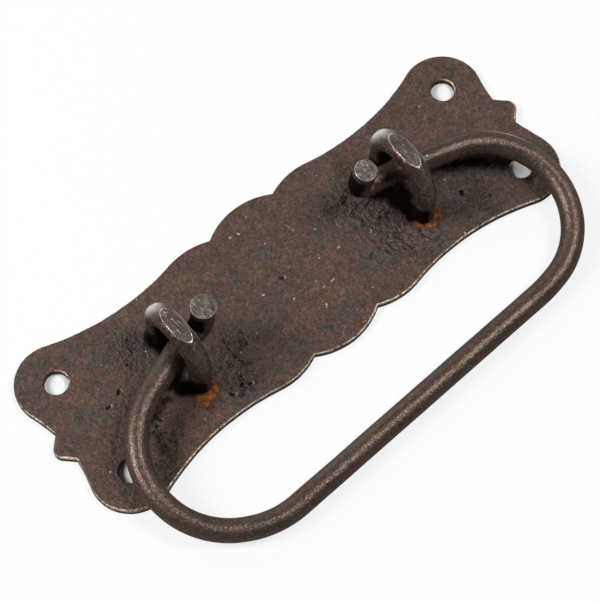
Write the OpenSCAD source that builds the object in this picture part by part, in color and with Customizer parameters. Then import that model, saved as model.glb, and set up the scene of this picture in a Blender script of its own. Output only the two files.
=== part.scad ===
// Wrought drop handle: a scalloped back plate, two riveted eyes and a bail bent from one bar.
// Millimetres. The origin is the centre of the plate's back face, X runs along the plate,
// Y across it and Z out of it. The bail hangs towards -Y and is drawn lying down.

/* [Back plate] */
// Thickness of the sheet
plate_t = 2; // [1.5:0.1:3]
// Width of the worn bevel round the front edges
arris = 0.4; // [0.1:0.1:0.8]
// Screw hole spacing along the plate
hole_pitch_x = 134.4; // [128:0.4:160]
// Screw hole spacing across the plate
hole_pitch_y = 31.6; // [30:0.2:36]
// Diameter of the screw holes
screw_hole_d = 6.5; // [4:0.1:8]
// Radius of the rounded corners, struck from the screw holes
corner_r = 11.1; // [9:0.1:12]
// Radius of the middle lobe
mid_lobe_r = 20.4; // [18:0.1:24]
// Height of the middle lobe's peak over the centre line
mid_lobe_peak = 25; // [24:0.1:27]
// Radius of the two lobes beside the middle one
side_lobe_r = 20.6; // [18:0.1:24]
// Distance of the side lobes from the middle
side_lobe_x = 19.5; // [17:0.1:22]
// Height of the side lobes' peaks over the centre line
side_lobe_peak = 23.7; // [23:0.1:26]
// Radius of the long hollows between side lobes and corners
waist_r = 70; // [55:1:90]
// How far the notches at the ends lie beyond the screw holes
notch_out = 8.8; // [7:0.1:9.5]
// Half the distance between the two notches at one end
notch_half = 4.6; // [3.5:0.1:6]
// Radius of the hollow flanks between corner, notch and nub
flank_r = 60; // [30:1:90]
// How far the middle of the nub's round tip lies beyond the screw holes
nub_out = 9.6; // [9:0.1:12]
// Radius of the nub's round tip
nub_r = 2.7; // [2:0.1:3.2]

/* [Eyes] */
// Diameter of the bar that the eyes are made of
eye_bar_d = 6.2; // [5:0.1:6.6]
// Place of the left eye along the plate
left_eye_x = -38.6; // [-44:0.2:-34]
// Place of the right eye along the plate
right_eye_x = 37.8; // [34:0.1:44]
// Place of both eyes across the plate
eye_y = -0.6; // [-2:0.1:2]
// Distance between the left eye's legs, centre to centre
left_eye_gap = 17.3; // [16.5:0.1:20]
// Distance between the right eye's legs, centre to centre
right_eye_gap = 18.4; // [17:0.1:20]
// Height of the left eye over the back of the plate
left_eye_h = 26.3; // [24:0.1:30]
// Height of the right eye over the back of the plate
right_eye_h = 26.8; // [24:0.1:30]
// Turn of the right eye, which stands a little twisted, in degrees
right_eye_twist = -2.5; // [-6:0.5:6]
// Diameter of the legs where they meet the plate
foot_d = 5; // [4.6:0.1:5.6]
// Length over which the legs taper to the foot
foot_taper = 7; // [4:0.5:9]
// Diameter of the rivet shanks that pass through the plate
shank_d = 4; // [3:0.1:4.4]
// Diameter of the peened rivet heads, flush with the back
rivet_head_d = 6.4; // [5:0.1:7]
// Depth of the countersinks that the rivet heads fill
rivet_sink = 1.2; // [0.8:0.1:1.4]
// Depth of the flat hammered into the crowns
crown_cut = 0.9; // [0.3:0.1:1.4]
// Radius of the hammered flat, seen from the side
crown_r = 25; // [16:1:60]
// Lean of the left eye's flat towards the right, in degrees
left_crown_lean = 8; // [-10:1:10]
// Lean of the right eye's flat towards the right, in degrees
right_crown_lean = 3; // [-10:1:10]

/* [Bail] */
// Diameter of the bail's bar
bail_bar_d = 6.4; // [5:0.1:6.6]
// Height of the pivot line over the back of the plate
pivot_h = 12.5; // [11.5:0.1:14]
// Distance from the pivot line to the middle of the grip
reach = 49.5; // [42:0.5:70]
// Distance from the middle to the outermost point of the left corner's centre line
left_half_width = 68.6; // [66:0.2:80]
// Distance from the middle to the outermost point of the right corner's centre line
right_half_width = 68.8; // [66:0.2:80]
// Turn of the wider bend that leads from the grip into the left corner, in degrees
left_ease = 31.5; // [5:0.5:60]
// Turn of the wider bend that leads from the grip into the right corner, in degrees
right_ease = 9.5; // [5:0.5:60]
// How much wider than the left corner that bend is
left_ease_ratio = 1.17; // [1:0.01:2]
// How much wider than the right corner that bend is
right_ease_ratio = 1.87; // [1:0.01:2]
// Angle at which the arms come back to the pivot line, in degrees
arm_angle = 18.2; // [16:0.2:20]
// How far towards the grip the left arm passes the pivot line inside its eye
left_arm_pass = -1.2; // [-2:0.1:0.5]
// How far towards the grip the right arm passes the pivot line inside its eye
right_arm_pass = 0; // [-0.5:0.1:2]
// Angle by which the bail hangs askew in its eyes, in degrees
skew = 2.4; // [0:0.1:3]
// Angle of the left arm inside its eye, in degrees
left_end_angle = 5; // [2:0.5:12]
// Angle of the right arm inside its eye, in degrees
right_end_angle = 14; // [2:0.5:16]
// Radius of the slight bends where the arms enter their eyes
set_r = 14; // [6:1:20]
// How far the left turned end stands inside its eye
left_end_in = 8.1; // [8:0.1:10]
// How far the right turned end stands inside its eye
right_end_in = 12.5; // [10:0.1:14]
// Height of the turned ends over the arms
end_h = 12.5; // [9:0.1:14]
// Lean of the left turned end away from the grip, in degrees
left_end_lean = 6; // [0:0.5:10]
// Lean of the right turned end away from the grip, in degrees
right_end_lean = 1; // [0:0.5:10]
// Tilt of the left turned end towards the right, in degrees
left_end_tilt = 3; // [-6:0.5:6]
// Tilt of the right turned end towards the right, in degrees
right_end_tilt = 5.5; // [-6:0.5:6]
// Bend radius of both turned ends
end_bend_r = 3.8; // [3.6:0.1:5]
// Diameter of the left end's hammered, spread face
left_face_d = 7; // [6.4:0.1:7.6]
// Height of the spread part of the left end
spread_h = 1.6; // [0.8:0.1:3]
// Worn edge round the left end's face
left_face_edge = 0.25; // [0.1:0.05:0.5]
// Worn edge round the right end's face
right_face_edge = 0.35; // [0.1:0.05:1]

/* [Hidden] */
$fn = 96;

// Clearance that lets a cutting tool pass right through
through = 1;
// How far the bail's bar swells where a bend begins or ends, which welds its lengths together
swell = 0.02;
// Straight length between a corner and the wider bend that leads into it
ease_gap = 1;

bail_r = bail_bar_d / 2;
eye_bar_r = eye_bar_d / 2;

// The bail lies with its grip on the surface that the plate is fixed to.
rest_angle = asin((pivot_h - bail_r - swell) / reach);

// A vector of length one
function unit(v) = v / norm(v);

// Centre of the circle that touches two others: c1 and c2 are their centres, d1 and d2 its
// distances from them. It lies to the left of the way from c1 to c2.
function touching(c1, d1, c2, d2) =
    let (w = c2 - c1,
         along = (w * w + d1 * d1 - d2 * d2) / (2 * norm(w)),
         across = sqrt(d1 * d1 - along * along),
         u = unit(w))
    c1 + along * u + across * [-u.y, u.x];

// Point of a circle nearest to another point
function towards(c, r, p) = c + r * unit(p - c);

// One quarter of the plate's outline, from its circles
side_lobe_c = [side_lobe_x, side_lobe_peak - side_lobe_r];
corner_c = [hole_pitch_x / 2, hole_pitch_y / 2];
nub_c = [corner_c.x + nub_out, 0];
notch = [corner_c.x + notch_out, notch_half];
waist_c = touching(side_lobe_c, side_lobe_r + waist_r, corner_c, corner_r + waist_r);
end_flank_c = touching(corner_c, corner_r + flank_r, notch, flank_r);
nub_flank_c = touching(notch, flank_r, nub_c, nub_r + flank_r);

// Corners of the plain sheet under the lobes, anticlockwise from the nub
quarter = [
    nub_c,
    towards(nub_c, nub_r, nub_flank_c),
    notch,
    towards(corner_c, corner_r, end_flank_c),
    corner_c,
    towards(corner_c, corner_r, waist_c),
    towards(side_lobe_c, side_lobe_r, waist_c),
    side_lobe_c
];

function flipped(points, sx, sy) = [for (p = points) [sx * p.x, sy * p.y]];
function backwards(points) = [for (i = [len(points) - 1 : -1 : 0]) points[i]];

// A round lobe of the plate with a bevelled front edge
module lobe(c, r) {
    translate(c)
        rotate_extrude()
            polygon([[0, 0], [r, 0], [r, plate_t - arris], [r - arris, plate_t], [0, plate_t]]);
}

// A round cutter that leaves a bevel at the front
module hollow(c, r) {
    translate(c)
        rotate_extrude()
            polygon([
                [0, -through],
                [r, -through],
                [r, plate_t - arris],
                [r + arris + through, plate_t + through],
                [0, plate_t + through]
            ]);
}

// Where the legs of an eye stand, from its place, gap and turn
function legs(x, gap, twist) = [
    for (side = [-1, 1]) [x - side * gap / 2 * sin(twist), eye_y + side * gap / 2 * cos(twist)]
];

// The riveted shank of one leg, which is also the shape of its hole
module shank() {
    cylinder(h = plate_t, d = shank_d);
    cylinder(h = rivet_sink, d1 = rivet_head_d, d2 = shank_d);
}

module back_plate() {
    color("#5b4d45")
        difference() {
            union() {
                linear_extrude(plate_t)
                    polygon(concat(
                        quarter,
                        backwards(flipped(quarter, -1, 1)),
                        flipped(quarter, -1, -1),
                        backwards(flipped(quarter, 1, -1))
                    ));
                for (sy = [-1, 1])
                    lobe([0, sy * (mid_lobe_peak - mid_lobe_r)], mid_lobe_r);
                for (sx = [-1, 1]) {
                    lobe([sx * nub_c.x, nub_c.y], nub_r);
                    for (sy = [-1, 1]) {
                        lobe([sx * side_lobe_c.x, sy * side_lobe_c.y], side_lobe_r);
                        lobe([sx * corner_c.x, sy * corner_c.y], corner_r);
                    }
                }
            }
            for (sx = [-1, 1], sy = [-1, 1]) {
                hollow([sx * waist_c.x, sy * waist_c.y], waist_r);
                hollow([sx * corner_c.x, sy * corner_c.y], screw_hole_d / 2);
                intersection() {
                    hollow([sx * end_flank_c.x, sy * end_flank_c.y], flank_r);
                    hollow([sx * nub_flank_c.x, sy * nub_flank_c.y], flank_r);
                }
            }
            for (p = concat(legs(left_eye_x, left_eye_gap, 0),
                            legs(right_eye_x, right_eye_gap, right_eye_twist)))
                translate(p) {
                    shank();
                    cylinder(h = plate_t + through, d = shank_d);
                }
        }
}

// One eye, with its arch across X, standing on the plate
module eye(gap, h, lean) {
    arch_z = h - eye_bar_r - gap / 2;
    difference() {
        union() {
            for (side = [-1, 1])
                translate([0, side * gap / 2, 0]) {
                    shank();
                    translate([0, 0, plate_t])
                        cylinder(h = foot_taper, d1 = foot_d, d2 = eye_bar_d);
                    translate([0, 0, plate_t + foot_taper])
                        cylinder(h = arch_z - plate_t - foot_taper, d = eye_bar_d);
                }
            translate([0, 0, arch_z])
                rotate([90, 0, 90])
                    rotate_extrude(angle = 180)
                        translate([gap / 2, 0])
                            circle(d = eye_bar_d);
        }
        // Metal over the hammered flat
        translate([0, 0, h - eye_bar_r])
            rotate([0, lean, 0])
                difference() {
                    translate([-eye_bar_d, -gap / 2, 0])
                        cube([2 * eye_bar_d, gap, 2 * eye_bar_d]);
                    translate([-eye_bar_d - through, 0, eye_bar_r - crown_cut - crown_r])
                        rotate([0, 90, 0])
                            cylinder(h = 2 * (eye_bar_d + through), r = crown_r);
                }
    }
}

module left_eye() {
    color("#665a53")
        translate([left_eye_x, eye_y, 0])
            eye(left_eye_gap, left_eye_h, left_crown_lean);
}

module right_eye() {
    color("#665a53")
        translate([right_eye_x, eye_y, 0])
            rotate([0, 0, right_eye_twist])
                eye(right_eye_gap, right_eye_h, right_crown_lean);
}

// Whatever is drawn along Z, stood at a to point at b
module along(a, b) {
    v = b - a;
    translate(a)
        rotate([0, acos(v.z / norm(v)), atan2(v.y, v.x)])
            children();
}

// Length that a bend of radius r takes from each leg of the corner a, b, c
function bend_take(a, b, c, r) =
    let (turn = acos(unit(b - a) * unit(c - b)))
    r * tan(turn / 2);

// Bent bar round the corner b, on the way from a to c
module bend(a, b, c, r) {
    u = unit(b - a);
    w = unit(c - b);
    inwards = unit(w - u * (u * w));
    start = b - u * bend_take(a, b, c, r);
    m = start + inwards * r;
    out = -inwards;
    axis = cross(out, u);
    multmatrix([
        [out.x, u.x, axis.x, m.x],
        [out.y, u.y, axis.y, m.y],
        [out.z, u.z, axis.z, m.z],
        [0, 0, 0, 1]
    ]) {
        rotate_extrude(angle = acos(u * w))
            translate([r, 0])
                circle(r = bail_r);
        for (turn = [0, acos(u * w)])
            rotate([0, 0, turn])
                translate([r, 0, 0])
                    sphere(r = bail_r + swell);
    }
}

// Radius of the corner that leads from the grip to an arm. w is the half width, ease and ratio
// the wider bend's turn and size, and the arm goes through p, seen from the middle of the pivot.
function corner_radius(w, ease, ratio, p) =
    (reach - ease_gap * sin(ease) - (w - p.x) * tan(arm_angle) - p.y)
    / (ratio * (1 - cos(ease)) + cos(ease) - tan(arm_angle) + 1 / cos(arm_angle));

// The two points where the lines of a corner meet: grip and wider bend, wider bend and arm
function corner_points(w, r, ratio, ease) =
    let (start = w - r - (ratio - 1) * r * sin(ease) - ease_gap * cos(ease),
         take = ratio * r * tan(ease / 2),
         rest = 180 - arm_angle - ease,
         between = take + ease_gap + r * tan(rest / 2))
    [[start + take, reach], [start + take, reach] + between * [cos(ease), -sin(ease)]];

// Point of an arm, u from the middle, before it enters its eye: c is where its line begins
function arm_point(u, c) = [u, c.y - (c.x - u) * tan(arm_angle)];

// Foot of a turned end, u from the middle, on the arm that enters its eye at p
function foot_point(u, p, angle) = [u, p.y - (p.x - u) * tan(angle)];

function left_3d(p) = [-p.x, p.y, 0];
function right_3d(p) = [p.x, p.y, 0];

// Corners of the bail's centre line in its own plane: along the pivot, towards the grip, and up
left_corner_r = corner_radius(left_half_width, left_ease, left_ease_ratio,
                              [-left_eye_x, left_arm_pass]);
right_corner_r = corner_radius(right_half_width, right_ease, right_ease_ratio,
                               [right_eye_x, right_arm_pass]);
left_corner = corner_points(left_half_width, left_corner_r, left_ease_ratio, left_ease);
right_corner = corner_points(right_half_width, right_corner_r, right_ease_ratio, right_ease);
left_set = arm_point(-left_eye_x + bail_r / 4, left_corner[1]);
right_set = arm_point(right_eye_x + bail_r / 4, right_corner[1]);
left_foot = left_3d(foot_point(-left_eye_x - left_end_in, left_set, left_end_angle));
right_foot = right_3d(foot_point(right_eye_x - right_end_in, right_set, right_end_angle));
left_tip = left_foot + end_h * [tan(left_end_tilt), -tan(left_end_lean), 1];
right_tip = right_foot + end_h * [tan(right_end_tilt), -tan(right_end_lean), 1];

centre_line = [
    left_tip,
    left_foot,
    left_3d(left_set),
    left_3d(left_corner[1]),
    left_3d(left_corner[0]),
    right_3d(right_corner[0]),
    right_3d(right_corner[1]),
    right_3d(right_set),
    right_foot,
    right_tip
];
bend_radii = [
    0,
    end_bend_r,
    set_r,
    left_corner_r,
    left_ease_ratio * left_corner_r,
    right_ease_ratio * right_corner_r,
    right_corner_r,
    set_r,
    end_bend_r,
    0
];

// How much of the bar a bend takes on each side of corner i
function taken(i) =
    i == 0 || i == len(centre_line) - 1
        ? 0
        : bend_take(centre_line[i - 1], centre_line[i], centre_line[i + 1], bend_radii[i]);

// Turned end of the bail, from the bend at its foot to the cut face
module turned_end(foot, tip, start, face_r, edge, h) {
    top = norm(tip - foot) - start;
    along(foot + unit(tip - foot) * start, tip)
        rotate_extrude()
            polygon([
                [0, 0],
                [bail_r, 0],
                [bail_r, top - h],
                [face_r, top - edge],
                [face_r - edge, top],
                [0, top]
            ]);
}

module handle() {
    last = len(centre_line) - 1;
    color("#6a5f58")
        translate([0, eye_y, pivot_h])
            rotate([0, 0, skew])
                rotate([rest_angle, 0, 0])
                    mirror([0, 1, 0])
                        union() {
                            for (i = [1 : last - 2]) {
                                a = centre_line[i];
                                b = centre_line[i + 1];
                                u = unit(b - a);
                                start = a + u * taken(i);
                                end = b - u * taken(i + 1);
                                along(start, end)
                                    cylinder(h = norm(end - start), r = bail_r);
                            }
                            for (i = [1 : last - 1])
                                bend(centre_line[i - 1], centre_line[i], centre_line[i + 1],
                                     bend_radii[i]);
                            turned_end(left_foot, left_tip, taken(1),
                                       left_face_d / 2, left_face_edge, spread_h);
                            turned_end(right_foot, right_tip, taken(last - 1),
                                       bail_r, right_face_edge, 2 * right_face_edge);
                        }
}

back_plate();
left_eye();
right_eye();
handle();
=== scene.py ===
"""Looks of a wrought drop handle: a scalloped iron plate, two riveted eyes and a bail of bent bar.

Lengths are written in millimetres, as on the bench, and MM turns them into metres.
"""

import math

import bmesh
import bpy
import numpy as np
from mathutils import Matrix, Vector, noise
from mathutils.geometry import delaunay_2d_cdt


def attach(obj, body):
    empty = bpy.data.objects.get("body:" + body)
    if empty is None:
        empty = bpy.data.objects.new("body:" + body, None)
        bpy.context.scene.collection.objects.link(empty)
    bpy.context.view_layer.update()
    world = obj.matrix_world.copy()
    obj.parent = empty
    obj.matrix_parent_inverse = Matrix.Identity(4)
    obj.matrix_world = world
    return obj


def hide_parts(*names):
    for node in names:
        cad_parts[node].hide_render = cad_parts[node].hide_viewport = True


MM = 0.001
TINY = 1e-9                         # keeps a division from meeting zero

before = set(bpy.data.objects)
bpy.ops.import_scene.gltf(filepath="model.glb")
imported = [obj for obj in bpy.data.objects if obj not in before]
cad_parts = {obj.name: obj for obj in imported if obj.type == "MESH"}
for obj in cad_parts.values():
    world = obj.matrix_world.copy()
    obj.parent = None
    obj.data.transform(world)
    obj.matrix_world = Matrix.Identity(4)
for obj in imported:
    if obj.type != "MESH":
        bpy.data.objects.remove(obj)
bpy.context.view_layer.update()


# Measures of the ironwork

PLATE_T = 2.0                       # sheet thickness
HOLE_AT = (67.2, 15.8)              # screw holes, from the middle
HOLE_R = 3.25
CORNER_R = 11.1                     # round of a corner, about its screw hole
MID_LOBE = (0.0, 4.6, 20.4)         # centre x, centre y, radius
SIDE_LOBE = (19.5, 3.1, 20.6)       # the same for the lobe beside it
WAIST_R = 70.0                      # hollow between a side lobe and a corner
NOTCH = (76.0, 4.6)                 # where the two hollows of an end meet
FLANK_R = 60.0                      # radius of those hollows
NUB = (76.8, 0.0, 2.7)              # centre x, centre y, radius of an end's nub

EYE_Y = -0.6                        # the pivot's line across the plate
EYE_BAR_R = 3.1
FOOT_R = 2.5                        # an eye's bar where it meets the plate
SHANK_R = 2.0                       # and inside the plate
RIVET_R = 3.2                       # its peened head at the back
RIVET_SINK = 1.2                    # how deep that head is sunk
EYES = {                            # place along the plate, gap of the legs, height, turn, lean
    "left_eye": (-38.6, 17.3, 26.3, 0.0, 8.0),
    "right_eye": (37.8, 18.4, 26.8, -2.5, 3.0),
}

BAIL_R = 3.2
PIVOT = Vector((0.0, EYE_Y, 12.5))
REACH = 49.5                        # from the pivot to the middle of the grip
SKEW = math.radians(2.4)            # how far the bail hangs askew
GRIP_LIFT = 0.02                    # clear of the surface that the plate lies on


# The plate's outline

def touching(c1, d1, c2, d2):
    """Centre of the circle at distances d1 and d2 from c1 and c2, left of the way between them."""
    c1, c2 = np.array(c1, float), np.array(c2, float)
    w = c2 - c1
    far = np.hypot(*w)
    along = (far * far + d1 * d1 - d2 * d2) / (2 * far)
    across = math.sqrt(d1 * d1 - along * along)
    u = w / far
    return c1 + along * u + across * np.array([-u[1], u[0]])


def towards(c, r, p):
    """The point at distance r from c, on the way to p."""
    d = np.array(p, float) - np.array(c, float)
    return np.array(c, float) + r * d / np.hypot(*d)


def arc(c, a, b, step):
    """Points from a to b round c, the short way, without b."""
    c = np.array(c, float)
    r = np.hypot(*(np.array(a) - c))
    start = math.atan2(a[1] - c[1], a[0] - c[0])
    turn = math.atan2(b[1] - c[1], b[0] - c[0]) - start
    turn = (turn + math.pi) % (2 * math.pi) - math.pi
    count = max(2, round(abs(turn) * r / step))
    t = start + turn * np.arange(count) / count
    return c + r * np.c_[np.cos(t), np.sin(t)]


def plate_outline(step):
    """The plate's outline, anticlockwise from the middle of the right nub."""
    corner, side, mid, nub = HOLE_AT, SIDE_LOBE[:2], MID_LOBE[:2], NUB[:2]
    waist = touching(side, SIDE_LOBE[2] + WAIST_R, corner, CORNER_R + WAIST_R)
    end_flank = touching(corner, CORNER_R + FLANK_R, NOTCH, FLANK_R)
    nub_flank = touching(NOTCH, FLANK_R, nub, NUB[2] + FLANK_R)
    meet = touching(mid, MID_LOBE[2], side, SIDE_LOBE[2])
    stops = [
        (nub, (nub[0] + NUB[2], 0.0), towards(nub, NUB[2], nub_flank)),
        (nub_flank, towards(nub, NUB[2], nub_flank), NOTCH),
        (end_flank, NOTCH, towards(corner, CORNER_R, end_flank)),
        (corner, towards(corner, CORNER_R, end_flank), towards(corner, CORNER_R, waist)),
        (waist, towards(corner, CORNER_R, waist), towards(side, SIDE_LOBE[2], waist)),
        (side, towards(side, SIDE_LOBE[2], waist), meet),
        (mid, meet, (0.0, mid[1] + MID_LOBE[2])),
    ]
    quarter = []
    for c, a, b in stops:
        if c is corner:                      # the corner's arc is the long way round
            half = np.array(c) + CORNER_R * np.array([0.8, 0.6])
            quarter += [*arc(c, a, half, step), *arc(c, half, b, step)]
        else:
            quarter += [*arc(c, a, b, step)]
    quarter = np.array(quarter + [np.array((0.0, mid[1] + MID_LOBE[2]))])
    left = quarter[::-1][1:] * (-1, 1)
    upper = np.concatenate([quarter, left])
    lower = upper[::-1][1:-1] * (1, -1)
    return np.concatenate([upper, lower])


def circle(c, r, count):
    """Points of a full circle, anticlockwise."""
    t = np.arange(count) * 2 * math.pi / count
    return np.array(c) + r * np.c_[np.cos(t), np.sin(t)]


def inwards(loop):
    """Direction into an anticlockwise loop at each of its points, in the plane."""
    d = np.roll(loop[:, :2], -1, axis=0) - np.roll(loop[:, :2], 1, axis=0)
    return np.c_[-d[:, 1], d[:, 0]] / np.maximum(np.hypot(d[:, 0], d[:, 1]), TINY)[:, None]


def legs(name):
    """Where the two legs of an eye stand."""
    x, gap, _, turn, _ = EYES[name]
    t = math.radians(turn)
    return [(x - s * gap / 2 * math.sin(t), EYE_Y + s * gap / 2 * math.cos(t)) for s in (-1, 1)]


# Distances, noise and soft shapes

BATCH = 2000                        # points worked on at a time, to save memory
SEED_SHIFT = (31.7, -17.3, 5.1)
GRAIN_ROUGH = 0.9                   # how fast the finer layers of noise grow weaker
GRAIN_STEP = 2.1                    # and how much finer each one is


def ramp(value, start, end):
    """Rises evenly from 0 at the start to 1 at the end, which may be the lower of the two."""
    return np.clip((value - start) / (end - start), 0, 1)


def hump(value, middle, reach, power=2):
    """1 at the middle, and nearly 0 at twice the reach from it."""
    return np.exp(-((value - middle) / reach) ** power)


def inside(points, loop):
    """Which points lie inside a closed loop."""
    a, b = loop, np.roll(loop, -1, axis=0)
    out = np.zeros(len(points), bool)
    for i in range(0, len(points), BATCH):
        p = points[i:i + BATCH]
        up = (a[:, 1] > p[:, 1:2]) != (b[:, 1] > p[:, 1:2])
        dy = np.where(a[:, 1] == b[:, 1], 1, b[:, 1] - a[:, 1])
        x = a[:, 0] + (p[:, 1:2] - a[:, 1]) * (b[:, 0] - a[:, 0]) / dy
        out[i:i + BATCH] = (up & (p[:, :1] < x)).sum(1) % 2 == 1
    return out


def distance(points, loop):
    """Distance of each point from a closed loop of short lines."""
    a, b = loop, np.roll(loop, -1, axis=0)
    d = b - a
    long2 = np.maximum((d * d).sum(1), TINY)
    out = np.zeros(len(points))
    for i in range(0, len(points), BATCH):
        p = points[i:i + BATCH, None, :]
        t = np.clip(((p - a) * d).sum(2) / long2, 0, 1)
        near = a + t[..., None] * d
        out[i:i + BATCH] = np.sqrt(((p - near) ** 2).sum(2).min(1))
    return out


def grain(points, size, seed, detail=3):
    """Smooth noise, about -1 to 1, at points with two or three coordinates."""
    out = np.empty(len(points))
    dx, dy, dz = (seed * shift for shift in SEED_SHIFT)
    for i, p in enumerate(points):
        z = p[2] / size if len(p) > 2 else 0.0
        v = Vector((p[0] / size + dx, p[1] / size + dy, z + dz))
        out[i] = noise.fractal(v, GRAIN_ROUGH, GRAIN_STEP, detail)
    return out


# The plate

OUTLINE_STEP = 0.42                 # between points along the plate's outline
SHEET_STEP = 0.46                   # between the loose points of the front
BACK_STEP = 1.3                     # and of the back, which is flat
ROW_SHARE = 0.866                   # height of a row of points for a side of 1
LOOSE = 0.18                        # how far a loose point strays, in steps
ARRIS_RINGS = (0.1, 0.22, 0.36, 0.55, 0.8)      # rows of points beside the edges of the front
BACK_RINGS = (0.25, 0.6)
CUT_ROWS = (0.3, 0.62)              # rows of points down a cut edge, as shares of its height
SCREW_POINTS = 72                   # points round a screw hole
SHANK_POINTS = 40
RING_STEP = 0.35                    # between points of the rings round a hole
PIT_CIRCLES = 8                     # circles of points in and round a pit
PIT_DENSITY = 5.5                   # how many of them lie within its radius
PIT_MARGIN = 0.15
MARK_STEP = 0.15                    # between points along a bright mark
PLATE_SHARP = 42                    # degrees past which an edge of the plate stays hard
BEYOND = 9.0                        # stands for a distance from the edge off the front

PITS = [                            # place, radius and depth of the deep rust pits
    (-56.3, 3.2, 0.85, 0.6), (-61.1, 1.5, 0.75, 0.5), (-3.3, 0.7, 0.8, 0.55), (49.9, -11.3, 0.9, 0.6),
    (-50.0, 7.8, 0.5, 0.3), (-29.0, -17.1, 0.75, 0.5), (-30.8, -15.9, 0.7, 0.45),
    (-34.3, -16.5, 0.85, 0.45), (-53.0, -9.9, 0.7, 0.4), (-54.7, -10.7, 0.6, 0.35),
    (-56.3, -11.4, 0.5, 0.3), (55.1, -16.8, 0.5, 0.3), (20.8, 11.8, 0.4, 0.25),
]
WORN_ENDS = [                       # place, reach and strength of the widest worn edges
    (-67.0, -23.0, 12.0, 1.0), (-77.0, -3.0, 7.0, 0.8), (-77.0, 8.0, 10.0, 0.4), (10.0, -22.0, 10.0, 0.45),
    (79.0, -2.0, 5.0, 0.7),
]
PIT_LIT = math.radians(-30)         # the side of a pit's lip that faces the lamp and gets a painted highlight
ETCHED = [                          # place, reach and strength of the areas that rust has eaten rough
    (25.5, 6.0, 7.0, 0.9), (26.5, -2.0, 8.0, 1.0), (27.5, -10.0, 7.0, 0.9), (21.0, 3.0, 5.0, 0.6),
    (36.0, -14.0, 6.0, 0.7), (53.0, -11.0, 8.0, 0.6), (19.0, -11.0, 5.0, 0.5),
    (-24.5, -6.0, 6.0, 0.8), (-29.0, -10.0, 6.0, 0.9), (-31.0, -17.0, 5.0, 0.9),
    (-56.0, -14.0, 5.5, 0.7), (-53.0, -8.0, 4.0, 0.8), (-60.0, -19.0, 4.0, 0.7), (-46.0, 12.0, 6.0, 0.6),
]
RUST = [                            # place, reach and strength of the orange rust
    (-41.2, -13.4, 3.0, 1.1), (-38.4, -14.2, 2.2, 0.9), (-30.0, -3.0, 2.4, 0.5), (-30.0, -19.6, 3.0, 0.5),
    (-46.0, -13.2, 3.5, 0.5), (-22.1, -17.2, 2.5, 0.4), (43.0, -12.0, 3.0, 0.6), (34.0, 4.9, 2.4, 0.6),
    (60.7, 8.1, 2.0, 0.55), (57.4, 8.0, 1.6, 0.45), (53.8, 10.7, 2.0, 0.45), (50.8, 21.6, 2.0, 0.4),
    (9.1, -11.6, 3.0, 0.42), (-5.0, -15.7, 3.0, 0.38), (4.2, -23.0, 2.5, 0.55), (12.0, -20.5, 3.0, 0.5),
    (-3.8, 18.2, 1.2, 0.6),
]
WARM = [                            # place, reach and strength of the reddish brown
    (9.1, -9.0, 9.0, 1.0), (-5.0, -13.5, 9.0, 0.9), (-9.3, -10.6, 6.0, 0.6), (-4.4, -1.0, 4.0, 0.5),
    (6.0, -21.0, 6.0, 0.9), (55.0, 10.0, 9.0, 0.5), (36.9, 18.2, 6.0, 0.3), (-72.3, 21.9, 5.0, 0.9),
    (-61.1, 11.0, 10.0, 0.8), (-49.0, 19.0, 6.0, 0.5), (-52.6, -18.5, 8.0, 0.7), (-44.0, -19.0, 8.0, 0.7),
    (70.0, -8.0, 8.0, 0.6), (0.0, 12.0, 14.0, 0.35),
]
OLIVE = [                           # place, reach and strength of the yellow olive scale
    (-5.5, 6.8, 4.0, 0.9), (-19.3, -10.7, 3.5, 1.0), (1.9, -10.0, 3.0, 0.7), (25.5, 15.8, 3.0, 1.3),
    (31.5, 16.9, 2.5, 0.9), (74.8, 17.5, 4.0, 0.7), (-24.7, 16.9, 2.6, 1.4), (-41.9, 19.9, 4.0, 1.0),
    (-30.3, -7.1, 3.5, 0.9), (-53.4, 6.8, 4.0, 0.7), (-65.7, 4.5, 5.0, 0.7), (-67.0, 24.0, 4.0, 0.8),
]
COOL = [                            # place, reach and strength of the blue grey scale
    (5.0, -16.5, 3.5, 1.0), (1.8, -18.6, 3.0, 0.9), (-2.0, -19.0, 3.0, 0.9), (7.5, -14.0, 3.0, 0.8),
    (-12.7, -16.2, 4.0, 1.0), (-9.9, -4.2, 4.0, 0.8), (-2.9, 8.3, 3.5, 0.7), (19.0, -11.1, 6.0, 0.9),
    (53.9, -18.8, 5.0, 1.0), (46.9, -16.5, 4.0, 0.8), (34.5, -16.5, 4.0, 1.0), (-70.4, 23.6, 3.5, 0.9),
    (-60.7, 17.9, 3.5, 0.8), (-54.5, 16.0, 5.0, 0.9), (-67.3, 1.2, 5.0, 0.9), (-63.3, 2.5, 4.0, 0.6),
    (14.4, 3.4, 5.0, 0.7), (-73.0, 22.0, 7.0, 0.9), (-61.0, -3.0, 9.0, 0.5), (-33.0, -16.8, 3.5, 1.0),
    (27.0, -2.0, 8.0, 0.6), (-48.0, 8.0, 8.0, 0.6),
]
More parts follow.
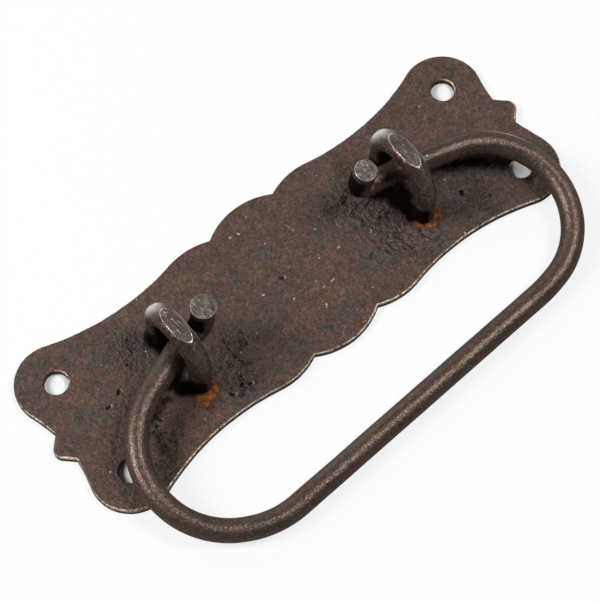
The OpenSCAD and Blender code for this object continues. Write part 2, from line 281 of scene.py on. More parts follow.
MARKS = [                           # ends of short bright scratches and knocks
    (13.4, -2.3, 14.6, -2.0), (6.0, -8.6, 7.0, -8.4), (3.3, -8.6, 4.0, -8.2), (2.7, -5.9, 3.2, -5.9),
    (0.3, -13.4, 0.8, -12.6), (13.2, -17.0, 13.2, -17.0), (-5.1, -6.2, -4.6, -6.0),
    (-11.7, 3.5, -11.7, 3.5), (-7.0, 1.7, -7.0, 1.7), (7.8, -1.3, 8.0, -1.2), (-0.4, 11.6, -0.2, 11.4),
    (-1.6, -22.4, -1.0, -21.7), (-13.0, -11.3, -12.4, -11.2), (4.7, -22.9, 5.5, -23.2),
    (0.9, 20.9, 0.9, 20.9), (7.4, 12.8, 8.1, 8.8), (-3.9, 18.5, -3.7, 17.9), (-55.3, 12.1, -55.3, 12.1),
    (-36.8, 21.0, -36.4, 20.8), (-67.6, -7.9, -67.6, -7.9), (-16.6, -11.9, -16.6, -11.9),
    (-59.8, -22.5, -59.8, -22.5), (73.7, -4.0, 76.3, -3.5), (49.0, -5.4, 49.0, -5.4),
    (26.2, -12.7, 26.2, -12.7), (23.4, -4.4, 24.0, -4.0),
]
RINGS = [                           # rust round a leg: place, inner reach, width, direction, strength
    (-38.6, -9.25, 3.7, 1.5, -98.0, 1.3), (38.0, -9.8, 3.6, 1.4, -60.0, 1.15),
    (38.0, -9.8, 3.4, 1.2, -175.0, 0.9), (-38.6, 8.05, 3.2, 1.2, -30.0, 0.6),
]
SHADE_AND_SOOT = [                            # strokes of painted shade under the bail's arms and round the eyes' legs, with black oxide: ends, reach and strength
    (-44.5, -3.0, -38.5, 0.5, 3.2, 1.1), (-38.5, 0.5, -40.0, 9.0, 3.2, 1.0),
    (-43.5, -6.5, -40.5, -8.5, 2.6, 1.0), (38.0, 9.0, 36.0, -2.0, 4.0, 1.1),
    (31.5, 3.5, 36.0, 0.0, 2.6, 0.8), (36.0, -2.0, 35.2, -7.5, 2.6, 1.0),
    (42.0, 4.5, 52.0, -1.5, 3.2, 0.66), (52.0, -1.5, 59.5, -6.5, 3.4, 0.66),
    (59.5, -6.5, 64.5, -12.5, 3.0, 0.62), (64.5, -12.5, 67.0, -20.0, 2.4, 0.55),
    (-55.5, -8.0, -57.5, -17.0, 3.0, 0.42), (-48.0, -6.5, -55.0, -8.5, 2.2, 0.6),
]


def leg_rings(points):
    """Strength of the rust that creeps out from under the legs, most on one side of each."""
    out = np.zeros(len(points))
    for x, y, reach, width, way, strength in RINGS:
        d = points - (x, y)
        far = np.hypot(*d.T)
        turn = np.arctan2(d[:, 1], d[:, 0]) - math.radians(way)
        lobe = np.clip(0.25 + 0.75 * np.cos(turn), 0, 1)
        out = np.maximum(out, strength * lobe * hump(far, reach, width))
    return out


def patches(points, spots):
    """Strength of a set of round patches at each point."""
    out = np.zeros(len(points))
    for x, y, reach, strength in spots:
        d2 = ((points - (x, y)) ** 2).sum(1) / reach ** 2
        out = np.maximum(out, strength * np.exp(-d2))
    return out


def strokes(points, lines):
    """Strength of a set of soft strokes at each point."""
    out = np.zeros(len(points))
    for x1, y1, x2, y2, reach, strength in lines:
        a, d = np.array((x1, y1)), np.array((x2 - x1, y2 - y1))
        t = np.clip(((points - a) @ d) / max(d @ d, TINY), 0, 1)
        off = ((points - a - t[:, None] * d) ** 2).sum(1)
        out = np.maximum(out, strength * np.exp(-off / reach ** 2))
    return out


def mark_points():
    """Close points along each bright mark, so that the sheet can carry it."""
    out = []
    for x1, y1, x2, y2 in MARKS:
        count = max(1, math.ceil(math.hypot(x2 - x1, y2 - y1) / MARK_STEP))
        for t in np.linspace(0, 1, count):
            x, y = x1 + (x2 - x1) * t, y1 + (y2 - y1) * t
            out += [(x + i * MARK_STEP, y + j * MARK_STEP) for i in range(-2, 3) for j in range(-2, 3)]
    kept = {(round(x / MARK_STEP), round(y / MARK_STEP)) for x, y in out}
    return np.array(sorted(kept)) * MARK_STEP


def marks(points):
    """Strength of the bright marks at each point: short ones are wide, long scratches are thin."""
    short, thin = (0.24, 1.0), (0.12, 0.7)
    wide = [(*m, *(short if math.hypot(m[2] - m[0], m[3] - m[1]) < 2 else thin)) for m in MARKS]
    return strokes(points, wide) * (0.75 + 0.9 * grain(points, size=0.55, seed=41, detail=2))


def nearest(points, loop):
    """Row of the loop's point that is closest to each point."""
    out = np.zeros(len(points), int)
    for i in range(0, len(points), BATCH):
        d = points[i:i + BATCH, None, :] - loop
        out[i:i + BATCH] = (d * d).sum(2).argmin(1)
    return out


def sheet_points(loop, holes, rings, spacing, seed):
    """Points of one face of the plate: a loose grid, and rings beside its outline and holes."""
    random = np.random.default_rng(seed)
    lowest, highest = loop.min(0), loop.max(0)
    xs = np.arange(lowest[0], highest[0], spacing)
    ys = np.arange(lowest[1], highest[1], spacing * ROW_SHARE)
    grid = np.array([(x + (i % 2) * spacing / 2, y) for i, y in enumerate(ys) for x in xs])
    grid += random.uniform(-LOOSE, LOOSE, grid.shape) * spacing
    grid = grid[inside(grid, loop)]
    keep = distance(grid, loop) > rings[-1] + spacing * 0.5
    for c, r in holes:
        keep &= np.hypot(*(grid - c).T) > r + rings[-1] + spacing * 0.5
    points = [grid[keep]]
    inward = inwards(loop)
    for k, d in enumerate(rings):
        ring = loop + inward * d
        if k % 2:
            ring = (ring + np.roll(ring, -1, axis=0)) / 2
        points.append(ring[distance(ring, loop) > d * 0.9])
        for c, r in holes:
            points.append(circle(c, r + d, max(24, round(2 * math.pi * r / RING_STEP))))
    return np.concatenate(points)


def sheet_faces(loops, points):
    """Triangles between the loops and through the points. Gives coordinates, faces, loop rows."""
    coords, edges, rows = [], [], []
    for loop in loops:
        first = len(coords)
        rows.append(range(first, first + len(loop)))
        coords += [Vector(p) for p in loop]
        edges += [(first + i, first + (i + 1) % len(loop)) for i in range(len(loop))]
    coords += [Vector(p) for p in points]
    out, _, faces, came_from, _, _ = delaunay_2d_cdt(coords, edges, [], 0, 1e-6, True)
    where = {}
    for new, olds in enumerate(came_from):
        for old in olds:
            where[old] = new
    xy = np.array([(v.x, v.y) for v in out])
    faces = np.array([f for f in faces if len(f) == 3])
    middle = xy[faces].mean(1)
    keep = inside(middle, loops[0])
    for loop in loops[1:]:
        keep &= ~inside(middle, loop)
    return xy, faces[keep], [[where[i] for i in row] for row in rows]


def hand_cut(outline):
    """The outline as a hand leaves it, a little inside the true one."""
    wobble = 0.05 + 0.05 * grain(outline, size=9.0, seed=1) + 0.035 * grain(outline, size=2.2, seed=2)
    return outline + inwards(outline) * np.clip(wobble, 0.0, 0.2)[:, None]


def handling(xy, outline, screws, screw_loops):
    """Distance of each point from the nearest edge, and how much that edge is rubbed and given a painted
    highlight.
    """
    edge = distance(xy, outline)
    # the near long edge of the outline and the right sides of the screw holes are rubbed most, and carry a
    # painted highlight there
    handled_and_lit = np.clip(0.7 + 0.5 * inwards(outline)[nearest(xy, outline), 1], 0, 1)
    for loop, (c, _) in zip(screw_loops, screws):
        off = distance(xy, loop)
        way = (xy - c) / np.hypot(*(xy - c).T)[:, None]
        handled_and_lit = np.where(off < edge, np.clip(0.2 + 0.8 * way[:, 0], 0.03, 1), handled_and_lit)
        edge = np.minimum(edge, off)
    return edge, handled_and_lit


def arris_drop(xy, edge):
    """How far the rubbed arris falls away beside an edge."""
    width = 0.46 + 0.15 * grain(xy, size=5.0, seed=3) + 0.13 * grain(xy, size=1.1, seed=4, detail=2)
    width = np.clip(width, 0.16, 0.8)
    t = np.clip(edge / width, 0, 1)
    return width * (1 - np.sqrt(1 - (1 - t) ** 2))


def relief(xy, edge):
    """How far hammering and rust have lowered the front."""
    etched = np.clip(patches(xy, ETCHED) * (0.75 + 0.5 * grain(xy, size=5.0, seed=6)), 0, 1)
    low = 0.07 * np.abs(grain(xy, size=22.0, seed=7)) + 0.035 * np.abs(grain(xy, size=6.0, seed=8))
    low += (0.04 + 0.7 * etched) * np.clip(grain(xy, size=1.6, seed=9) + 0.1, 0, 1)
    return low * ramp(edge, 0, 0.8)


def pit_bowls(xy):
    """How deep the pits go, which points lie in one, and the painted highlights on the lips that face the
    lamp.
    """
    sunk, pitted, lip_highlights = np.zeros(len(xy)), np.zeros(len(xy)), np.zeros(len(xy))
    for x, y, r, depth in PITS:
        d = np.hypot(xy[:, 0] - x, xy[:, 1] - y)
        angle = np.arctan2(xy[:, 1] - y, xy[:, 0] - x)
        # a lobed outline, steep walls and a flat floor
        wide = r * (0.86 + 0.26 * np.sin(2 * angle + x) + 0.16 * np.sin(3 * angle + y))
        bowl = 1 / (1 + np.exp(np.minimum((d / wide - 0.8) * 9, 50)))
        sunk += 1.3 * depth * bowl
        pitted = np.maximum(pitted, bowl)
        far_side = np.clip(np.cos(angle - PIT_LIT), 0, 1)
        lip = hump(d / wide, 1.12, 0.2) * min(1, depth / 0.5)
        lip_highlights = np.maximum(lip_highlights, far_side * lip)
    return sunk, pitted, lip_highlights


def pit_points():
    """Close circles of points in and round each pit."""
    return [
        circle((x, y), r * k / PIT_DENSITY, 8 + 4 * k)
        for x, y, r, _ in PITS
        for k in range(1, PIT_CIRCLES + 1)
    ]


def clear_of_pits(points):
    """The points that aren't close to a pit, which brings its own."""
    keep = np.ones(len(points), bool)
    for x, y, r, _ in PITS:
        keep &= np.hypot(points[:, 0] - x, points[:, 1] - y) > r * PIT_CIRCLES / PIT_DENSITY + PIT_MARGIN
    return points[keep]


def cut_edges(front, back, front_rows, back_rows, uneven):
    """Points and faces from the front's loops down to the back's. The first loops are uneven."""
    rings, quads = [], []
    at = len(front) + len(back)
    for k, (upper, lower) in enumerate(zip(front_rows, back_rows)):
        rim, foot = front[upper], back[lower]
        rows = [list(upper)]
        for share in CUT_ROWS:
            ring = rim * (1 - share) + foot * share
            if k < uneven:
                ring[:, :2] -= 0.06 * grain(ring, size=2.5, seed=13)[:, None] * inwards(rim)
            rings.append(ring)
            rows.append(list(range(at, at + len(ring))))
            at += len(ring)
        rows.append([len(front) + i for i in lower])
        for a, b in zip(rows, rows[1:]):
            for i in range(len(a)):
                j = (i + 1) % len(a)
                quad = (a[i], b[i], b[j], a[j])
                quads.append(quad if k == 0 else quad[::-1])
    return rings, quads


def forge_plate():
    """The plate: front with worn arris, pits and etched areas, cut edge, and back."""
    outline = hand_cut(plate_outline(OUTLINE_STEP))
    screws = [((sx * HOLE_AT[0], sy * HOLE_AT[1]), HOLE_R) for sx in (-1, 1) for sy in (-1, 1)]
    shanks = [(leg, SHANK_R) for name in EYES for leg in legs(name)]
    sinks = [(leg, RIVET_R) for leg, _ in shanks]
    screw_loops = [circle(c, r, SCREW_POINTS) for c, r in screws]

    loops = [outline, *screw_loops, *(circle(c, r, SHANK_POINTS) for c, r in shanks)]
    loose = sheet_points(outline, screws + shanks, ARRIS_RINGS, SHEET_STEP, seed=5)
    points = np.concatenate([clear_of_pits(loose), *pit_points(), mark_points()])
    xy, front_faces, front_rows = sheet_faces(loops, points)
    edge, handled_and_lit = handling(xy, outline, screws, screw_loops)
    sunk, pitted, lip_highlights = pit_bowls(xy)
    front = np.c_[xy, PLATE_T - arris_drop(xy, edge) - relief(xy, edge) - sunk]

    loops = [outline, *screw_loops, *(circle(c, r, SHANK_POINTS) for c, r in sinks)]
    points = sheet_points(outline, screws + sinks, BACK_RINGS, BACK_STEP, seed=6)
    back_xy, back_faces, back_rows = sheet_faces(loops, points)
    back_edge = distance(back_xy, outline)
    lift = 0.06 * ramp(back_edge, 0.3, 0)
    lift += 0.05 * np.abs(grain(back_xy, size=3.0, seed=12)) * ramp(back_edge, 0, 1)
    back = np.c_[back_xy, lift]

    rings, quads = cut_edges(front, back, front_rows, back_rows, uneven=1 + len(screws))
    co = np.concatenate([front, back, *rings])
    triangles = np.concatenate([front_faces, back_faces[:, ::-1] + len(front)]).tolist()
    mesh = bpy.data.meshes.new("back_plate_forged")
    mesh.from_pydata((co * MM).tolist(), [], triangles + quads)

    def whole(values, elsewhere=0.0):
        """Values of the front's points, with one value for all the others."""
        return np.r_[values, np.full(len(co) - len(values), elsewhere)]

    at = co[:, :2]
    rim_at = whole(edge, BEYOND)
    band = 0.26 + 0.4 * patches(at, WORN_ENDS)
    carry(mesh, {
        # rubbed edges, with a painted highlight on the near edges and the holes' right sides
        "rubbed": hump(rim_at, 0.18, band) * whole(handled_and_lit),
        "near_edge": hump(rim_at, 0, 1.3) * whole(handled_and_lit),
        # the cut edges, which get painted shade
        "side": np.arange(len(co)) >= len(front) + len(back),
        "rust": np.maximum(patches(at, RUST), leg_rings(at)),
        "warm": patches(at, WARM),
        "olive": patches(at, OLIVE),
        "cool": patches(at, COOL),
        # bright scratches and knocks, and painted highlights on the pits' lips
        "mark": whole(np.maximum(marks(xy), 0.8 * lip_highlights)),
        "etched": np.clip(patches(at, ETCHED), 0, 1),
        # painted shade under the bail and round the eyes, with black oxide
        "soot_and_shade": strokes(at, SHADE_AND_SOOT),
        "pitted": whole(pitted),
    })
    return finished("back_plate_forged", mesh, PLATE_SHARP)


def carry(mesh, painted):
    """Writes values for each vertex, by their names, for the finishes to read."""
    for name, values in painted.items():
        layer = mesh.attributes.new(name, "FLOAT", "POINT")
        layer.data.foreach_set("value", np.asarray(values, np.float32).reshape(-1))


def finished(name, mesh, sharp_degrees):
    """A smooth object of this mesh, with its hard edges kept and its faces outwards."""
    mesh.update()
    bm = bmesh.new()
    bm.from_mesh(mesh)
    bmesh.ops.recalc_face_normals(bm, faces=bm.faces)
    bm.to_mesh(mesh)
    bm.free()
    mesh.shade_smooth()
    mesh.set_sharp_from_angle(angle=math.radians(sharp_degrees))
    obj = bpy.data.objects.new(name, mesh)
    bpy.context.scene.collection.objects.link(obj)
    return obj


# Bars bent from round stock

DENT_LEVEL = 0.62                   # noise above it stands proud of the true bar


def bent_path(corners, radii, step):
    """Points along a line with rounded corners."""
    corners = [np.array(p, float) for p in corners]
    out = [corners[0]]
    for i in range(1, len(corners) - 1):
        a, b, c = corners[i - 1], corners[i], corners[i + 1]
        u = (b - a) / np.linalg.norm(b - a)
        w = (c - b) / np.linalg.norm(c - b)
        turn = math.acos(float(np.clip(u @ w, -1, 1)))
        take = radii[i] * math.tan(turn / 2)
        start = b - u * take
        to_middle = w - u * (u @ w)
        to_middle /= np.linalg.norm(to_middle)
        middle = start + to_middle * radii[i]
        out += straight(out[-1], start, step)
        count = max(2, math.ceil(turn * radii[i] / step))
        for k in range(1, count + 1):
            t = turn * k / count
            out.append(middle - to_middle * radii[i] * math.cos(t) + u * radii[i] * math.sin(t))
    return np.array(out + straight(out[-1], corners[-1], step))


def straight(a, b, step):
    """Points from a to b, without a."""
    count = max(1, round(float(np.linalg.norm(b - a)) / step))
    return [a + (b - a) * k / count for k in range(1, count + 1)]


def forged_bar_tree():
    """Sweeps round bar along a path. The path's radius is its thickness, 1 for the full bar."""
    tree = bpy.data.node_groups.new("forged_bar", "GeometryNodeTree")
    face = tree.interface
    for name, kind, value in (
        ("Path", "NodeSocketGeometry", None),
        ("Bar Diameter", "NodeSocketFloat", 0.006),
        ("Sides", "NodeSocketInt", 64),
        ("Unevenness", "NodeSocketFloat", 0.0001),
        ("Stretch of Dents", "NodeSocketFloat", 3.0),
        ("Size of Dents", "NodeSocketFloat", 0.005),
        ("Seed", "NodeSocketFloat", 1.0),
        ("Finish", "NodeSocketMaterial", None),
    ):
        socket = face.new_socket(name, in_out="INPUT", socket_type=kind)
        if value is not None:
            socket.default_value = value
    face.new_socket("Bar", in_out="OUTPUT", socket_type="NodeSocketGeometry")
    w = Wiring(tree)
    given = w.add("NodeGroupInput").outputs
    where = w.add("GeometryNodeSplineParameter").outputs["Length"]
    rail = w.store(given["Path"], "along", where)
    ring = w.add("GeometryNodeCurvePrimitiveCircle", {"Resolution": given["Sides"]})
    radius = w.times(given["Bar Diameter"], 0.5)
    w.put(ring.inputs["Radius"], radius)
    around = w.add("GeometryNodeInputPosition").outputs[0]
    profile = w.store(ring.outputs[0], "around", around, "FLOAT_VECTOR")
    sweep = w.add(
        "GeometryNodeCurveToMesh",
        {
            "Curve": rail,
            "Profile Curve": profile,
            "Scale": w.add("GeometryNodeInputRadius").outputs[0],
            "Fill Caps": True,
        },
    ).outputs[0]
    round_place = w.read("around", "FLOAT_VECTOR")
    long_place = w.read("along", "FLOAT")
    lifted = w.add("ShaderNodeCombineXYZ", {"Z": long_place}).outputs[0]
    place = w.vector("ADD", round_place, lifted)
    sweep = w.store(sweep, "bar_place", place, "FLOAT_VECTOR")
    squeezed = w.add(
        "ShaderNodeCombineXYZ", {"Z": w.over(long_place, given["Stretch of Dents"])}
    ).outputs[0]
    dent_place = w.vector("ADD", round_place, squeezed)
    dent = w.add(
        "ShaderNodeTexNoise",
        {
            "Vector": dent_place,
            "W": given["Seed"],
            "Scale": w.over(1.0, given["Size of Dents"]),
            "Detail": 2.0,
            "Roughness": 0.5,
        },
        noise_dimensions="4D",
    ).outputs["Fac"]
    depth = w.times(w.minus(dent, DENT_LEVEL), given["Unevenness"])
    outwards = w.add("GeometryNodeInputNormal").outputs[0]
    moved = w.add(
        "GeometryNodeSetPosition",
        {
            "Geometry": sweep,
            "Offset": w.vector("SCALE", outwards, scale=depth),
        },
    ).outputs[0]
    for name in ("around", "along"):
        moved = w.add("GeometryNodeRemoveAttribute", {"Geometry": moved, "Name": name}).outputs[0]
    real = w.add("GeometryNodeRealizeInstances", {"Geometry": moved}).outputs[0]
    dressed = w.add("GeometryNodeSetMaterial", {"Geometry": real, "Material": given["Finish"]})
    w.add("NodeGroupOutput", {"Bar": dressed.outputs[0]})
    return tree


def forge_bar(name, tree, path, thickness, sizes):
    """A bar along this path, as a mesh with one ring of points for each point of the path."""
    curve = bpy.data.curves.new(name + "_path", "CURVE")
    curve.dimensions = "3D"
    line = curve.splines.new("POLY")
    line.points.add(len(path) - 1)
    for point, p, r in zip(line.points, path, thickness):
        point.co = (*(p * MM), 1.0)
        point.radius = float(r)
    obj = bpy.data.objects.new(name + "_path", curve)
    bpy.context.scene.collection.objects.link(obj)
    change = obj.modifiers.new("forged_bar", "NODES")
    change.node_group = tree
    for item in tree.interface.items_tree:
        if item.in_out == "INPUT" and item.name in sizes:
            change[item.identifier] = sizes[item.name]
    seen = obj.evaluated_get(bpy.context.evaluated_depsgraph_get())
    mesh = bpy.data.meshes.new_from_object(seen, preserve_all_data_layers=True)
    obj.modifiers.clear()
    bpy.data.objects.remove(obj)
    bpy.data.curves.remove(curve)
    mesh.name = name
    return mesh


def rings_of(mesh, sides):
    """The bar's points in millimetres, ring by ring."""
    co = np.empty(len(mesh.vertices) * 3)
    mesh.vertices.foreach_get("co", co)
    return co.reshape(-1, sides, 3) / MM


def put_rings(mesh, rings):
    """Moves the bar's points to these rings, none of them below the floor."""
    rings[..., 2] = np.maximum(rings[..., 2], 0.0)
    mesh.vertices.foreach_set("co", (rings * MM).reshape(-1))
    mesh.update()


def facing(rings, way):
    """How far each point of a bar faces this way, -1 to 1."""
    out = rings - rings.mean(1, keepdims=True)
    out /= np.maximum(np.linalg.norm(out, axis=2, keepdims=True), TINY)
    return out @ np.array(way)


# Eyes

EYE_SIDES = 88                      # points round an eye's bar
EYE_SHARP = 60                      # degrees past which an edge of an eye stays hard
LEG_STEP = 0.27                     # between rings along a leg
ARCH_RINGS = 110
CROWN_CUT = 0.9                     # metal that the hammer took off the crown
CROWN_R = 25.0                      # radius of the hammered face, along the arch
CROWN_FACE = 0.6                    # how far the crown looks like a sawn face
FAR = 99.0                          # stands for a height that nothing reaches
RIM_HIGHLIGHT_WAY = (0.963, 0.0, 0.269)       # way that the painted highlight along the far rim of an arch faces
EYE_SEEDS = {"left_eye": 3.0, "right_eye": 8.0}
EYE_DENTS = {"Unevenness": 0.22 * MM, "Stretch of Dents": 1.6, "Size of Dents": 4.5 * MM}
END_RINGS = (0.95, 0.88, 0.78, 0.65, 0.5, 0.34, 0.18)      # rings that close a bar's end
RIM_FADE = 5                        # a rim's wear fades out over a fifth of the end's radius


def eye_path(gap, arch_z):
    """Centre line of an eye and its radii, from the front head over the arch to the back head."""
    stations = [                    # height and thickness of a leg, from the back of the plate
        (0.0, RIVET_R * 0.9), (0.06, RIVET_R), (RIVET_SINK, SHANK_R + 0.01), (PLATE_T - 0.12, SHANK_R),
        (PLATE_T - 0.06, FOOT_R * 0.97), (PLATE_T + 0.1, FOOT_R), (PLATE_T + 7.0, EYE_BAR_R),
    ]
    zs = np.concatenate([
        np.linspace(a[0], b[0], max(2, math.ceil((b[0] - a[0]) / LEG_STEP)), endpoint=False)
        for a, b in zip(stations, stations[1:] + [(arch_z, EYE_BAR_R)])
    ])
    zs = np.append(zs, arch_z)
    thick = np.interp(zs, [s[0] for s in stations], [s[1] for s in stations])
    front = np.c_[np.zeros(len(zs)), np.full(len(zs), -gap / 2), zs]
    turns = np.linspace(0, math.pi, ARCH_RINGS)[1:-1]
    arch = np.c_[
        np.zeros(len(turns)), -gap / 2 * np.cos(turns), arch_z + gap / 2 * np.sin(turns)
    ]
    behind = front[::-1] * (1, -1, 1)
    radii = np.concatenate([thick, np.full(len(arch), EYE_BAR_R), thick[::-1]])
    return np.concatenate([front, arch, behind]), radii


def forge_eye(name, tree, finish):
    """An eye: rivet heads, legs that taper to the plate, arch, and the hammered crown."""
    x, gap, height, turn, lean = EYES[name]
    arch_z = height - EYE_BAR_R - gap / 2
    path, radii = eye_path(gap, arch_z)
    mesh = forge_bar(name + "_forged", tree, path, radii / EYE_BAR_R, {
        "Bar Diameter": 2 * EYE_BAR_R * MM, "Sides": EYE_SIDES, "Seed": EYE_SEEDS[name],
        "Finish": finish, **EYE_DENTS,
    })
    rings = rings_of(mesh, EYE_SIDES)
    face, outline = hammer_crown(rings, gap, height, lean)
    soot_and_shade, polish_and_highlight = eye_shade(rings, gap, arch_z)
    t = math.radians(turn)
    spin = np.array([[math.cos(t), math.sin(t), 0], [-math.sin(t), math.cos(t), 0], [0, 0, 1]])
    rings = rings @ spin + (x, EYE_Y, 0)
    put_rings(mesh, rings)
    low = ramp(rings[..., 2], 5, 2)
    carry(mesh, {"flat": face, "rubbed": outline, "rust": 0.75 * low, "soot_and_shade": soot_and_shade, "polish_and_highlight": polish_and_highlight})
    close_ends(mesh, EYE_SIDES, len(path))
    return finished(name + "_forged", mesh, EYE_SHARP)


def eye_shade(rings, gap, arch_z):
    """Painted shade with black oxide inside the arch and on the legs' -x side, darker towards the plate;
    the shoulders' hand polish with a painted highlight, and a painted highlight along the far rim.
    """
    x, y, z = rings[..., 0], rings[..., 1], rings[..., 2]
    reach = np.where(z > arch_z, np.hypot(y, z - arch_z), np.abs(y))
    inner = np.clip((gap / 2 - reach) / EYE_BAR_R, 0, 1)
    outer = np.clip((reach - gap / 2) / EYE_BAR_R, 0, 1) ** 2
    # painted shade with black oxide inside the arch and on the legs' -x side, and darker towards the plate
    inside_arch = 0.9 * inner * np.clip((arch_z + gap / 2 - z) / 5, 0.25, 1)
    shaded_side = np.clip(0.45 - x / EYE_BAR_R, 0, 1) * ramp(z, 14, 8)
    near_plate = 0.35 * ramp(z, 9, 3)
    soot_and_shade = np.maximum(np.maximum(inside_arch, shaded_side), near_plate)
    turn = np.degrees(np.arctan2(z - arch_z, y))
    # the shoulders' polish, with a painted highlight
    shoulders = 1.4 * hump(turn, 28, 24) + 0.15 * hump(turn, 140, 24)
    # a painted highlight along the far rim
    painted_rim = 0.85 * ramp(facing(rings, RIM_HIGHLIGHT_WAY), 0.9, 0.96) * hump(turn, 80, 55, power=4)
    polish_and_highlight = np.maximum(outer * shoulders, painted_rim)
    return np.clip(soot_and_shade, 0, 1), np.clip(polish_and_highlight * (z > arch_z), 0, 1)


def hammer_crown(rings, gap, height, lean):
    """Moves the metal over the hammered face down onto it. Gives the face and its outline."""
    a = math.radians(lean)
    centre = np.array([0, 0, height - EYE_BAR_R])
    across = np.array([math.cos(a), 0, -math.sin(a)])
    along = np.array([0, 1, 0])
    upwards = np.array([math.sin(a), 0, math.cos(a)])
    p = rings - centre
    px, py, pz = p @ across, p[..., 1], p @ upwards
    surface = EYE_BAR_R - CROWN_CUT - CROWN_R + np.sqrt(np.maximum(CROWN_R * CROWN_R - py * py, 0))
    near = (np.abs(py) < gap / 2) & (pz > 0)
    over = np.where(near, pz - surface, -FAR)
    moved = np.minimum(pz, np.where(near, surface, FAR))
    rings[:] = centre + px[..., None] * across + py[..., None] * along + moved[..., None] * upwards
    face = CROWN_FACE * ramp(over, 0, 0.12)
    outline = hump(over, 0, 0.11) * np.where(px < 0, 1.0, 0.85)
    return face, outline


def close_ends(mesh, sides, count):
    """Gives both ends of a bar a disc of rings, in place of one large face."""
    bm = bmesh.new()
    bm.from_mesh(mesh)
    bm.verts.ensure_lookup_table()
    layers = [bm.verts.layers.float[k] for k in bm.verts.layers.float.keys()]
    places = [bm.verts.layers.float_vector[k] for k in bm.verts.layers.float_vector.keys()]
    rim = bm.verts.layers.float["rubbed"]
    for f in [f for f in bm.faces if len(f.verts) > 4]:
        bm.faces.remove(f)
    ends = [[bm.verts[first + i] for i in range(sides)] for first in (0, (count - 1) * sides)]
    for loop in ends:
        middle = sum((v.co for v in loop), Vector()) / sides
        centre = bm.verts.new(middle)
        mean = [sum(v[k] for v in loop) / sides for k in layers]
        spot = [sum((v[k] for v in loop), Vector()) / sides for k in places]
        for k, m in zip(layers, mean):
            centre[k] = 0.0 if k == rim else m
        for k, m in zip(places, spot):
            centre[k] = m
        last = loop
        for share in END_RINGS:
            ring = []
            for v in loop:
                new = bm.verts.new(middle.lerp(v.co, share))
                for k in layers:
                    new[k] = v[k] * (max(0.0, 1 - RIM_FADE * (1 - share)) if k == rim else 1.0)
                for k, m in zip(places, spot):
                    new[k] = m.lerp(v[k], share)
                ring.append(new)
            for i in range(sides):
                j = (i + 1) % sides
                bm.faces.new((last[i], last[j], ring[j], ring[i]))
            last = ring
        for i in range(sides):
            bm.faces.new((last[i], last[(i + 1) % sides], centre))
    bm.to_mesh(mesh)
    bm.free()


# The bail

BAIL_SIDES = 60                     # points round the bail's bar
BAIL_SHARP = 50                     # degrees past which an edge of the bail stays hard
BAIL_STEP = 0.5                     # between rings along it
END_STEPS = (0.0, 0.16, 0.34, 0.6)  # finer rings at an end, as shares of one step
ARM = 18.2                          # degrees between an arm and the grip's direction
CORNER_FLAT = 1.0                   # straight bit between the two bends of a corner
SET_R = 14.0                        # bend where an arm is set towards its eye
END_R = 3.8                         # bend of a turned end
END_H = 12.5                        # height of a turned end
BAIL_HALVES = {                     # the two halves differ, as a hand-bent bar's do
    "left_eye": {
        "side": -1, "half": 68.6,           # half the bail's width
        "ease": 31.5, "ratio": 1.17,        # bend next to the grip: its turn, and how much wider it is
        "passes": -1.2,                     # how far past the pivot's line the arm is at its eye
        "end_in": 8.1, "end_angle": 5.0,    # how far behind the eye the bar turns up, and its angle
        "tilt": 3.0, "lean": 6.0,           # how the turned end stands
    },
    "right_eye": {
        "side": 1, "half": 68.8, "ease": 9.5, "ratio": 1.87, "passes": 0.0,
        "end_in": 12.5, "end_angle": 14.0, "tilt": 5.5, "lean": 1.0,
    },
}
BAIL_DENTS = {"Unevenness": 0.26 * MM, "Stretch of Dents": 5.0, "Size of Dents": 3.4 * MM, "Seed": 5.0}
LIT_SIDE_WAY = (0.76, -0.64, 0.15)      # way that the lit side of the turned ends faces, which the painted shade spares
HIGHLIGHT_AT = 50.0                    # way along the bar, from its right end, to the bend with a painted highlight line
HIGHLIGHT_WAY = (0.83, 0.45, 0.33)     # way that the painted highlight line of that bend faces
RUSTY_AT = 12.0                     # way from the right end to the rust at its bend


def bail_axes():
    """The bail's own directions as it lies: along the pivot, towards the grip, and up."""
    droop = math.asin((PIVOT.z - BAIL_R - GRIP_LIFT) / REACH)
    u = np.array([math.cos(SKEW), math.sin(SKEW), 0])
    v0 = np.array([math.sin(SKEW), -math.cos(SKEW), 0])
    up = np.array([0, 0, 1.0])
    v = v0 * math.cos(droop) - up * math.sin(droop)
    w = v0 * math.sin(droop) + up * math.cos(droop)
    return u, v, w


def tan(degrees):
    """Tangent of an angle in degrees."""
    return math.tan(math.radians(degrees))


